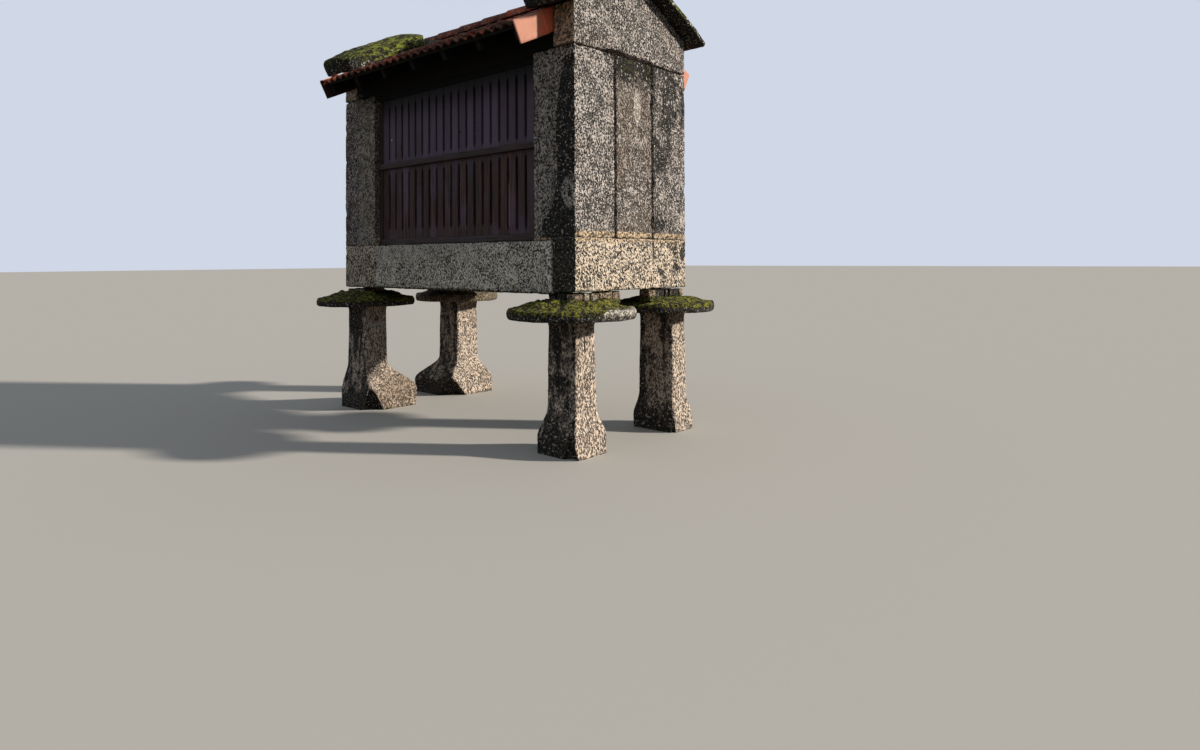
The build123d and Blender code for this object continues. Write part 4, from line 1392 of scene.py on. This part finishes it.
FLOOR_REACH = 150
SKY_SEEN = linear(208, 215, 230)
SKY_LIGHT = (0.80, 0.88, 1.0, 1)
SKY_STRENGTH = 0.36
SUN_FROM = (1, 0.72, 0.47)
SUN_STRENGTH = 4.8
SUN_SPREAD = math.radians(3)
SUN_COLOUR = (1.0, 0.93, 0.84)
FLOOR_SEEN = linear(196, 192, 184)
FLOOR_BOUNCE = linear(112, 104, 92)
PHOTO_WIDTH = 1200
PHOTO_HEIGHT = 750
CAMERA_PLACE = (5.9466, -5.1753, 1.6025)
CAMERA_TURN = 0.72698
CAMERA_RISE = 0.00915
CAMERA_ROLL = 0.00496
FOCAL_LENGTH_IN_PIXELS = 757.96
HORIZON_ROW = 252.6
SENSOR_WIDTH = 36
VIEW_LIMIT = 400


def seen_or_bounced(owner, output, kind, seen, bounced):
    """One shader for what the camera sees and a darker one for the light that comes back from it."""
    owner.use_nodes = True
    tree = owner.node_tree
    mix = tree.nodes.new("ShaderNodeMixShader")
    for number, (colour, strength) in enumerate((bounced, seen)):
        shader = tree.nodes.new(kind)
        shader.inputs["Color"].default_value = colour
        if "Strength" in shader.inputs:
            shader.inputs["Strength"].default_value = strength
        tree.links.new(shader.outputs[0], mix.inputs[1 + number])
    path = tree.nodes.new("ShaderNodeLightPath")
    tree.links.new(path.outputs["Is Camera Ray"], mix.inputs["Fac"])
    tree.links.new(mix.outputs[0], tree.nodes[output].inputs["Surface"])


def stage_floor():
    material = bpy.data.materials.new("studio_floor")
    seen_or_bounced(material, "Material Output", "ShaderNodeBsdfDiffuse", (FLOOR_SEEN, 1), (FLOOR_BOUNCE, 1))
    mesh = bpy.data.meshes.new("studio_floor")
    corners = [(x * FLOOR_REACH, y * FLOOR_REACH, 0) for x, y in ((-1, -1), (1, -1), (1, 1), (-1, 1))]
    mesh.from_pydata(corners, [], [(0, 1, 2, 3)])
    mesh.materials.append(material)
    floor = link("studio_floor", mesh)


def lights():
    world = bpy.data.worlds.new("studio")
    bpy.context.scene.world = world
    seen_or_bounced(world, "World Output", "ShaderNodeBackground", (SKY_SEEN, 1), (SKY_LIGHT, SKY_STRENGTH))
    sun = bpy.data.lights.new("sun", "SUN")
    sun.energy = SUN_STRENGTH
    sun.angle = SUN_SPREAD
    sun.color = SUN_COLOUR
    link("sun", sun).rotation_euler = Vector(SUN_FROM).to_track_quat("Z", "Y").to_euler()


def camera():
    data = bpy.data.cameras.new("camera")
    data.sensor_width = SENSOR_WIDTH
    data.lens = FOCAL_LENGTH_IN_PIXELS / PHOTO_WIDTH * SENSOR_WIDTH
    data.shift_y = (HORIZON_ROW - PHOTO_HEIGHT / 2) / PHOTO_WIDTH
    data.clip_end = VIEW_LIMIT
    view = link("camera", data)
    turn = Matrix.Rotation(CAMERA_TURN, 4, "Z") @ Matrix.Rotation(math.pi / 2 + CAMERA_RISE, 4, "X")
    view.matrix_world = Matrix.Translation(CAMERA_PLACE) @ turn @ Matrix.Rotation(-CAMERA_ROLL, 4, "Z")
    bpy.context.scene.camera = view


stage_floor()
lights()
camera()
bpy.context.scene.view_settings.view_transform = "Standard"
